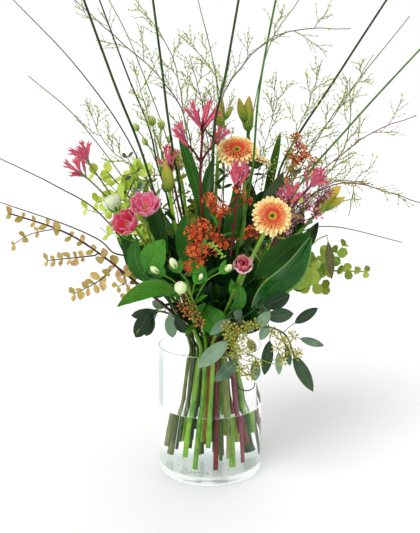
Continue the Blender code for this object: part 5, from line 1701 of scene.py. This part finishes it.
def leaf_pairs(shape, line, forms, count, low, high, finish, seed, size=(1.0, 0.5), out_share=1.0,
               face=(0.2, -1.0, 0.5), quarter=1.45):
    """Pairs of leaves along a line, each pair a quarter turn on; they shrink to the tip."""
    rng = random.Random(seed)
    for i in range(count):
        share = low + (high - low) * i / max(1, count - 1)
        base, axis = point_on(line, share)
        grow = size[0] + (size[1] - size[0]) * i / max(1, count - 1)
        for half in (0, 1):
            turn = math.pi * half + quarter * (i % 2) + 0.35 + rng.uniform(-0.25, 0.25)
            out = aside_from(axis, turn)
            way = out * out_share + axis * rng.uniform(0.25, 0.6)
            look = Vector(face) + Vector([rng.uniform(-0.45, 0.45) for _ in range(3)])
            add_mesh(shape, rng.choice(forms), stand(base, way, look, grow * rng.uniform(0.88, 1.1)),
                     finish, rng.random())


def branch_piece(name):
    """The stem and the side branches of a packed branch, and the lines they follow."""
    shape, line, foot, tip = stem_shape(name, 0.030, 0.18)
    sides = []
    for route in BRANCH_SIDES[name]:
        side = curved(route, 12)
        side[0] = min(line, key=lambda p: (p - side[0]).length)
        add_tube(shape, side, [0.0011 - 0.0005 * i / 11 for i in range(12)], 8)
        sides.append(side)
    return shape, line, sides


def more_sides(shape, line, starts, radius=0.0008):
    """Extra side branches: each a start share and the points that it runs through."""
    made = []
    for share, knots in starts:
        base, _ = point_on(line, share)
        side = curved([base] + metres(knots), 10)
        add_tube(shape, side, [radius * (1 - 0.04 * i) for i in range(10)])
        made.append(side)
    return made


# %% Dried gum on the left
shape, line, sides = branch_piece("eucalyptus_left")
coins = [round_leaf(0.020, 0.0125, 0.35, 0.05, 0.10), round_leaf(0.019, 0.0095, -0.3, 0.15, 0.15),
         round_leaf(0.017, 0.0080, 0.5, 0.2, -0.08)]
leaf_pairs(shape, line, coins, 12, 0.60, 0.99, 1, 5, (1.0, 0.62), 0.9, (0.1, -1.0, 0.3))
leaf_pairs(shape, sides[0], coins, 6, 0.30, 0.98, 1, 6, (0.9, 0.6), 0.9, (0.1, -1.0, 0.3))
leaf_pairs(shape, sides[1], coins, 6, 0.30, 0.98, 1, 7, (0.95, 0.7), 0.9, (0.1, -1.0, 0.3))
extra = more_sides(shape, line, [
    (0.66, [(-110, -95, 300), (-120, -104, 296)]),
    (0.60, [(-98, -86, 286), (-112, -100, 280)]),
    (0.86, [(-236, -88, 362), (-256, -92, 350)])])
for k, side in enumerate(extra):
    leaf_pairs(shape, side, coins, 3, 0.4, 1.0, 1, 30 + k, (0.8, 0.6), 0.9, (0.1, -1.0, 0.3))
grown("dried_eucalyptus_left", shape, ["plum_stem", "dried_gum_leaf"], "eucalyptus_dried",
      "eucalyptus_left")

# %% Silver dollar gum on the right
shape, line, sides = branch_piece("eucalyptus_right")
dollars = [round_leaf(0.031, 0.029, 0.15, -0.1, 0.10), round_leaf(0.029, 0.025, -0.15, -0.05, 0.06),
           round_leaf(0.026, 0.023, 0.3, 0.0, -0.05)]
leaf_pairs(shape, line, dollars, 15, 0.52, 0.99, 1, 9, (1.0, 0.34), 0.75, (-0.1, -1.0, 0.25))
extra = more_sides(shape, line, [
    (0.62, [(120, 0, 290), (146, -10, 312), (170, -15, 330)]),
    (0.70, [(150, 40, 270), (176, 50, 262)]),
    (0.74, [(172, 10, 312), (190, 12, 330)])])
for k, side in enumerate(extra):
    leaf_pairs(shape, side, dollars, 5, 0.35, 1.0, 1, 50 + k, (0.75, 0.45), 0.8, (-0.1, -1.0, 0.3))
for base, way, size, shade in metres([
        ((100, -20, 305), (0.4, -0.3, -1.0), 1.15, 0.35),
        ((112, -24, 300), (0.8, -0.4, -0.6), 1.05, 0.75),
        ((124, -18, 303), (0.5, -0.3, -0.9), 1.0, 0.55),
        ((136, -20, 306), (0.3, -0.4, -1.0), 0.9, 0.85)]):
    add_mesh(shape, dollars[0], stand(base, way, (-0.1, -1.0, 0.35), size), 1, shade)
long_leaf = round_leaf(0.060, 0.013, 0.15, 0.35, 0.08, 4, 9)
add_mesh(shape, long_leaf, stand((0.162, -0.030, 0.350), (0.12, -0.1, -1.0), (0.0, -1.0, 0.0)), 3, 0.5)
add_tube(shape, curved(metres([(120, 10, 300), (148, -10, 340), (162, -30, 352)]), 8), 0.0009)
grown("silver_dollar_eucalyptus_right", shape, ["yellow_green_stem", "lime_gum_leaf",
                                                "dark_gum_leaf", "brown_gum_leaf"],
      "eucalyptus_lime", "eucalyptus_right")

# %% Seeded gum over the rim, with its clusters of seed
shape, line, sides = branch_piece("eucalyptus_seeded")
WILLOW_LEAVES = metres([
    # base and tip of the leaf, its width, and whether it is a dark one
    ((108, -102, 243), (142, -102, 266), 0.014, 1),
    ((115, -102, 226), (152, -100, 214), 0.011, 0),
    ((108, -100, 208), (138, -100, 152), 0.018, 1),
    ((91, -103, 210), (92, -105, 175), 0.010, 0),
    ((80, -103, 228), (72, -104, 176), 0.016, 1),
    ((61, -102, 198), (60, -104, 166), 0.014, 0),
    ((28, -104, 226), (-16, -104, 186), 0.021, 0),
    ((42, -104, 200), (6, -106, 166), 0.018, 0),
    ((28, -96, 252), (0, -104, 230), 0.013, 0),
    ((60, -100, 236), (78, -108, 262), 0.016, 0),
    ((68, -86, 262), (106, -92, 282), 0.022, 1),
    ((72, -92, 250), (110, -98, 258), 0.020, 1),
    ((50, -96, 224), (60, -110, 208), 0.012, 0),
    ((100, -106, 220), (106, -112, 190), 0.009, 0),
    ((44, -88, 250), (30, -106, 262), 0.014, 0),
    ((78, -100, 244), (66, -112, 226), 0.013, 0),
])
for k, (base, end, width, dark) in enumerate(WILLOW_LEAVES):
    base, end = Vector(base), Vector(end)
    leaf = round_leaf((end - base).length, width, 0.18, 0.18, (-0.06, 0.08)[k % 2], 4, 9)
    look = Vector((0.15 * math.sin(k * 2.0), -1.0, 0.25 + 0.2 * math.cos(k * 1.7)))
    add_mesh(shape, leaf, stand(base, end - base, look), 2 if dark else 1, (k * 0.31) % 1.0)
    joint = min(line + sides[0] + sides[1], key=lambda p: (p - base).length)
    add_tube(shape, [joint, joint.lerp(base, 0.5) + Vector((0, 0, 0.001)), base],
             [0.0007, 0.0006, 0.0006])
leaf_pairs(shape, line, [round_leaf(0.030, 0.013, 0.2, 0.15, 0.08)], 4, 0.46, 0.72, 1, 15,
           (0.9, 0.7), 0.9, (0.1, -1.0, 0.3))
seed_forms = [ball(0.0017, 1, (0.85, 0.85, 1.3)), ball(0.0013, 1, (0.85, 0.85, 1.4))]
SEED_SPOTS = metres([
    (34, -108, 240), (46, -110, 230), (40, -112, 216), (52, -112, 205), (30, -110, 222),
    (62, -110, 246), (82, -108, 236), (96, -110, 226), (104, -110, 212), (98, -112, 200),
    (86, -110, 216), (110, -108, 232), (20, -106, 244), (44, -112, 186), (118, -106, 208),
    (56, -112, 218), (36, -112, 202), (24, -108, 232), (62, -112, 194), (50, -108, 244),
    (54, -112, 178),
])
clusters(shape, line + sides[0] + sides[1], SEED_SPOTS, 12, 0.0092, 1.5, seed_forms, 3, 4, 21, 0.0006,
         (0.0, -0.3, 0.2))
hook = metres([(26, -60, 160), (36, -64, 146), (50, -66, 140), (60, -66, 144), (62, -66, 152)])
add_tube(shape, curved(hook, 14), [0.0011 - 0.00003 * i for i in range(14)], 8, 5)
grown("seeded_eucalyptus", shape, ["green_twig_bark", "grey_gum_leaf", "dark_gum_leaf", "gum_seed",
                                   "yellow_green_stem", "plum_stem"], "eucalyptus_grey",
      "eucalyptus_seeded")

# %% Grey leaves at the lower left, and the lime sprig above them
shape, line, sides = branch_piece("eucalyptus_low")
LOW_LEAVES = metres([
    ((-83, -32, 246), (-106, -32, 206), 0.022, 1),
    ((-80, -24, 240), (-92, -24, 206), 0.018, 1),
    ((-56, -44, 246), (-52, -58, 214), 0.018, 0),
    ((-70, -30, 244), (-112, -24, 236), 0.015, 1),
    ((-62, -34, 250), (-78, -50, 262), 0.014, 0),
    ((-48, -52, 244), (-36, -64, 222), 0.014, 1),
    ((-74, 0, 240), (-100, 14, 216), 0.018, 0),
])
for k, (base, end, width, dark) in enumerate(LOW_LEAVES):
    base, end = Vector(base), Vector(end)
    leaf = round_leaf((end - base).length, width, 0.18, 0.05, 0.10, 4, 8)
    add_mesh(shape, leaf, stand(base, end - base, (-0.2, -1.0, 0.2)), 2 if dark else 1, (k * 0.43) % 1)
    joint = min(line, key=lambda p: (p - base).length)
    add_tube(shape, [joint, base], [0.0008, 0.0006])
grown("grey_eucalyptus_low", shape, ["green_twig_bark", "grey_gum_leaf", "dark_gum_leaf"],
      "eucalyptus_grey", "eucalyptus_low")

shape, line, sides = branch_piece("lime_foliage")
ovals = [round_leaf(0.031, 0.021, 0.15, 0.0, 0.08), round_leaf(0.027, 0.015, -0.2, 0.1, 0.05)]
leaf_pairs(shape, line, ovals, 12, 0.56, 0.99, 1, 61, (1.0, 0.6), 0.9, (-0.1, -1.0, 0.6))
for k, side in enumerate(sides):
    leaf_pairs(shape, side, ovals, 6, 0.20, 1.0, 1, 70 + k, (1.0, 0.6), 0.9, (-0.1, -1.0, 0.6))
extra = more_sides(shape, line, [
    (0.64, [(-110, 20, 372), (-122, 16, 381)]),
    (0.60, [(-120, 0, 372), (-150, -8, 378), (-172, -4, 384)]),
    (0.58, [(-116, -10, 350), (-138, -24, 350), (-152, -22, 362)]),
    (0.74, [(-104, 50, 414), (-100, 56, 440)]),
    (0.78, [(-140, 40, 410), (-166, 40, 430)])])
for k, side in enumerate(extra):
    leaf_pairs(shape, side, ovals, 4, 0.35, 1.0, 1, 80 + k, (0.9, 0.6), 0.9, (-0.1, -1.0, 0.6))
grown("lime_leaf_sprig", shape, ["green_twig_bark", "lime_sprig_leaf"], "lime_foliage",
      "lime_foliage")
print("branches done")

# %% [markdown]
# ## Steel grass and budded twigs
#
# Steel grass is a stiff ridged rod that thins to a point. The twigs are the opposite: they
# zigzag from bud to bud and fork again and again into threads. A straight tube would look
# like wire, so each twig's line is bent a little at every bud.

# %% Grass rods
def grass_radius(foot, tip, count):
    return [foot + (tip - foot) * (i / (count - 1)) ** 0.9 for i in range(count)]


BRIGHT_GRASS = {"steel_grass_8", "steel_grass_10"}
STOUT_GRASS = {"steel_grass_1": 2.2, "steel_grass_3": 2.2, "steel_grass_7": 2.0,
               "steel_grass_8": 1.7, "steel_grass_9": 2.3, "steel_grass_2": 1.4,
               "steel_grass_10": 1.7}
for name in GRASS:
    line, foot, tip = stems[name]
    shape = new_shape()
    stout = STOUT_GRASS.get(name, 0.9)
    add_tube(shape, line, grass_radius(foot * 1.3, tip * stout, len(line)))
    look = "fresh_grass_rod" if name in BRIGHT_GRASS else "steel_grass_rod"
    grown("ridged_" + name, shape, [look], "steel_grass", name)

EXTRA_GRASS = metres([
    [(20, 20, 165), (60, 40, 300), (179, 110, 504), (298, 130, 658)],
    [(10, 24, 165), (44, 70, 400), (83, 110, 599), (131, 120, 680)],
    [(24, 10, 165), (90, 30, 315), (130, 30, 347), (185, 50, 352), (283, 50, 329)],
    [(-10, 20, 165), (-40, 60, 400), (-110, 110, 600), (-160, 125, 700)],
    [(10, 28, 165), (20, 80, 400), (10, 110, 560), (-20, 125, 690)],
    [(-20, 10, 165), (-90, 50, 360), (-190, 90, 500), (-270, 110, 570)],
])
shape = new_shape()
for knots in EXTRA_GRASS:
    line = curved(knots, 48)
    add_tube(shape, line, grass_radius(0.0013, 0.0006, 48))
grown("more_steel_grass", shape, ["fresh_grass_rod"], "steel_grass")


# %% Twigs that fork, with a bud at every joint
def zigzag(line, amount, seed, parts):
    """The line with a small kink at every joint."""
    rng = random.Random(seed)
    points = []
    for i in range(parts + 1):
        place, axis = point_on(line, min(0.9999, i / parts))
        out = aside_from(axis, GOLDEN_TURN * i + rng.uniform(-0.4, 0.4))
        points.append(place + out * amount * (0 if i in (0, parts) else 1))
    return points


def shoots(line, low, count, length, rng, lift=0.25):
    """Side shoots in a spiral, each a kinked line of a few points."""
    made = []
    for i in range(count):
        share = low + (0.97 - low) * i / count
        base, axis = point_on(line, share)
        out = aside_from(axis, GOLDEN_TURN * i + rng.uniform(-0.5, 0.5))
        way = axis * rng.uniform(0.7, 1.1) + out * rng.uniform(0.5, 0.9) + Vector((0, 0, lift))
        way.normalize()
        reach = length * rng.uniform(0.55, 1.1) * (1 - 0.45 * share)
        bend = out * reach * rng.uniform(-0.12, 0.12)
        made.append([base, base + way * reach * 0.35 + bend, base + way * reach * 0.7 - bend * 0.5,
                     base + way * reach])
    return made


def budded_twig(shape, line, radii, seed, low, count, length, buds):
    """A forking twig: shoots on the stem, smaller ones on those, and buds along them all."""
    rng = random.Random(seed)
    main = zigzag(line, 0.0007, seed, 34)
    sizes = [radii[0] + (radii[1] - radii[0]) * i / 34 for i in range(35)]
    lines = [(main, sizes)]
    first = shoots(main, low, count, length, rng)
    second = [s for shoot in first for s in shoots(shoot, 0.25, 5, length * 0.42, rng, 0.1)]
    lines += [(s, [0.00050, 0.00045, 0.00040, 0.00030]) for s in first]
    lines += [(s, [0.00034, 0.00030, 0.00028, 0.00022]) for s in second]
    add_mesh(shape, tubes(lines, 4))
    spaced = [(main, 0.030)] + [(s, 0.0085) for s in first] + [(s, 0.0080) for s in second]
    for part, spacing in spaced:
        total = sum((b - a).length for a, b in zip(part, part[1:]))
        number = max(1, int(total / spacing * buds))
        for i in range(number + 1):
            share = max(low if part is main else 0.15, 0.12 + 0.88 * i / number)
            place, axis = point_on(part, min(0.999, share))
            out = aside_from(axis, GOLDEN_TURN * i)
            add_mesh(shape, TWIG_BUDS[rng.randrange(2)],
                     upright(place + out * 0.0007, axis + out * 0.8, rng.uniform(0.8, 1.6)), 1,
                     rng.random())


TWIG_BUDS = [ball(0.0011, 1, (0.75, 0.75, 1.5)), ball(0.0009, 1, (0.8, 0.8, 1.3))]
TWIG_LOOKS = {
    # bark, number of shoots, their length, and how many buds
    "twig_1": ("twig_bark", 13, 0.085, 0.9), "twig_2": ("green_twig_bark", 13, 0.070, 1.2),
    "twig_3": ("twig_bark", 14, 0.085, 0.9), "twig_4": ("green_twig_bark", 13, 0.070, 1.2),
    "twig_5": ("red_twig_bark", 14, 0.075, 0.9), "twig_6": ("red_twig_bark", 11, 0.070, 0.5),
}
for seed, (name, (bark, count, length, buds)) in enumerate(TWIG_LOOKS.items()):
    line, foot, tip = stems[name]
    shape = new_shape()
    budded_twig(shape, line, (foot, tip), seed + 200, 0.42, count, length, buds)
    grown("budded_" + name, shape, [bark, "lime_twig_bud"], "budded_twig", name)
print("grass and twigs done")

EXTRA_TWIGS = metres([
    [(0, 10, 200), (20, 30, 420), (10, 20, 560), (-39, 0, 620)],
    [(30, 0, 200), (130, 40, 380), (206, 60, 420), (205, 60, 367)],
    [(-20, 20, 200), (-80, 40, 400), (-150, 60, 470), (-180, 60, 535)],
    [(20, 20, 200), (70, 60, 430), (91, 80, 508), (96, 80, 575)],
    [(30, 10, 200), (110, 40, 450), (140, 30, 532), (156, 30, 590)],
    [(0, 30, 200), (0, 70, 420), (-10, 85, 520), (-30, 90, 600)],
    [(-10, 20, 200), (-60, 30, 430), (-90, 40, 520), (-110, 50, 590)],
    [(20, 20, 200), (120, 70, 430), (190, 90, 520), (240, 100, 600)],
])
for half in (0, 1):
    shape = new_shape()
    for k, knots in list(enumerate(EXTRA_TWIGS))[half::2]:
        budded_twig(shape, curved(knots, 40), (0.0012, 0.0005), 300 + k, 0.50, 12, 0.065, 1.2)
    grown(f"more_budded_twigs_{half + 1}", shape, [("green_twig_bark", "twig_bark")[half],
                                                   "lime_twig_bud"], "budded_twig")
print("more twigs done")

# %% [markdown]
# ## What fills the middle
#
# Between the flowers a full bunch is a dark thicket of leaves and side stems. Without it the
# background would show through. These leaves are dark, plain and many, so they are copies
# of a few forms, scattered at random but always the same way. Their darkness is partly their
# own green and partly painted shade: low shades and a near-black finish paint in the shade of
# the bunch's core. They are left out of the front, where the flowers sit.

# %% The dark thicket
rng = random.Random(404)
shape = new_shape()
thicket = [round_leaf(0.046, 0.020, 0.2, 0.15, 0.12, 4, 8),
           round_leaf(0.038, 0.016, -0.15, 0.2, 0.08, 4, 8),
           round_leaf(0.052, 0.013, 0.2, 0.3, 0.15, 4, 8)]
threads = []
# Shades drawn from 0 to 0.7 lean these leaves to the deeper green: partly painted shade for the inside
# of the bunch.
for i in range(300):
    turn = i * GOLDEN_TURN
    height = 0.205 + 0.175 * ((i * GOLDEN_STEP) % 1.0)
    wide = float(np.interp(height, (0.20, 0.24, 0.30, 0.38), (0.030, 0.052, 0.074, 0.080)))
    reach = wide * math.sqrt(rng.uniform(0.10, 1.0))
    spot = Vector((reach * math.cos(turn) + 0.006, reach * math.sin(turn) * 0.92, height))
    out = Vector((math.cos(turn), math.sin(turn), rng.uniform(0.1, 1.5)))
    look = Vector((math.cos(turn) * 0.6 + rng.uniform(-0.5, 0.5), math.sin(turn) * 0.6
                   + rng.uniform(-0.5, 0.5) - 0.2, 0.8))
    add_mesh(shape, thicket[i % 3], stand(spot, out, look, rng.uniform(0.7, 1.1)), i % 5 // 3,
             rng.random() * 0.7)
    if i % 3 == 0:
        root = Vector((spot.x * 0.45, spot.y * 0.45, max(0.17, spot.z - 0.07)))
        threads.append(([root, root.lerp(spot, 0.5) + Vector((0, 0, -0.004)), spot],
                        [0.0010, 0.0008, 0.0006]))
# Painted shade: a band of leaves behind the front flowers, facing the front, takes the near-black
# finish and low shades, which paint in the shade of the bunch's core.
for i in range(170):
    side = ((i * GOLDEN_STEP) % 1.0) * 2 - 1
    top = 0.350 if side > -0.3 else 0.310
    height = 0.215 + (top - 0.215) * ((i * 0.382 + 0.1) % 1.0)
    wide = float(np.interp(height, (0.21, 0.26, 0.38), (0.030, 0.055, 0.065)))
    spot = Vector((0.014 + side * wide, rng.uniform(-0.050, 0.010), height))
    way = Vector((rng.uniform(-0.8, 0.8), rng.uniform(-0.3, 0.1), rng.uniform(0.3, 1.2)))
    add_mesh(shape, thicket[i % 3], stand(spot, way, (rng.uniform(-0.5, 0.5), -1.0, 0.2),
                                          rng.uniform(0.75, 1.05)), 3, rng.random() * 0.6)
add_mesh(shape, tubes(threads, 5), None, 2)
grown("dark_thicket", shape, ["dark_leaf_wax", "dark_gum_leaf", "dark_green_stem",
                              "painted_shade_leaf_wax"], "glossy_leaf")

# %% Seed clusters at the rim, and a lime sprig before the milkweed
shape = new_shape()
twig = curved(metres([(-10, -60, 235), (-22, -85, 262), (-30, -95, 290)]), 16)
rim_spots = metres([(-34, -100, 282), (-26, -104, 272), (-20, -106, 258), (-30, -104, 262),
                    (-14, -104, 248), (-38, -98, 268)])
clusters(shape, twig, rim_spots, 12, 0.0085, 1.5, seed_forms, 1, 0, 77, 0.0006)
sprig = curved(metres([(-6, -80, 345), (4, -118, 352), (18, -126, 338)]), 18)
add_tube(shape, sprig, 0.0006, finish=2)
for i in range(26):
    base, axis = point_on(sprig, 0.25 + 0.74 * i / 25)
    out = aside_from(axis, GOLDEN_TURN * i)
    add_mesh(shape, TWIG_BUDS[i % 2], upright(base + out * 0.0022, out, 1.6), 3, rng.random())
grown("rim_seeds_and_lime_sprig", shape, ["twig_bark", "rust_bud", "lime_stem", "green_bud"],
      "orange_spray")

# %% Sprigs at the sides and the back
shape = new_shape()
sprig_forms = [round_leaf(0.024, 0.013, 0.15, 0.1, 0.08), round_leaf(0.028, 0.010, 0.1, 0.25, 0.12)]
for i in range(26):
    turn = math.radians(-20 + 220 * i / 25) if i % 2 else math.radians(-25 + 230 * i / 25)
    high = 0.30 + 0.16 * ((i * GOLDEN_STEP) % 1.0)
    reach = rng.uniform(0.080, 0.118)
    root = Vector((0.020 * math.cos(turn), 0.020 * math.sin(turn), 0.205))
    middle = Vector((reach * 0.62 * math.cos(turn), reach * 0.62 * math.sin(turn), high * 0.78))
    end = Vector((reach * math.cos(turn) * 1.08, reach * math.sin(turn), high))
    line = curved([root, middle, end], 18)
    add_tube(shape, line, [0.0011 - 0.00003 * k for k in range(18)], finish=3)
    leaf_pairs(shape, line, sprig_forms, 7, 0.45, 0.99, i % 3, 500 + i, (1.05, 0.6), 0.9,
               (math.cos(turn), math.sin(turn), 0.5))
grown("back_sprigs", shape, ["grey_gum_leaf", "lime_sprig_leaf", "bright_leaf_wax", "green_stem"],
      "eucalyptus_grey")
print("thicket done")
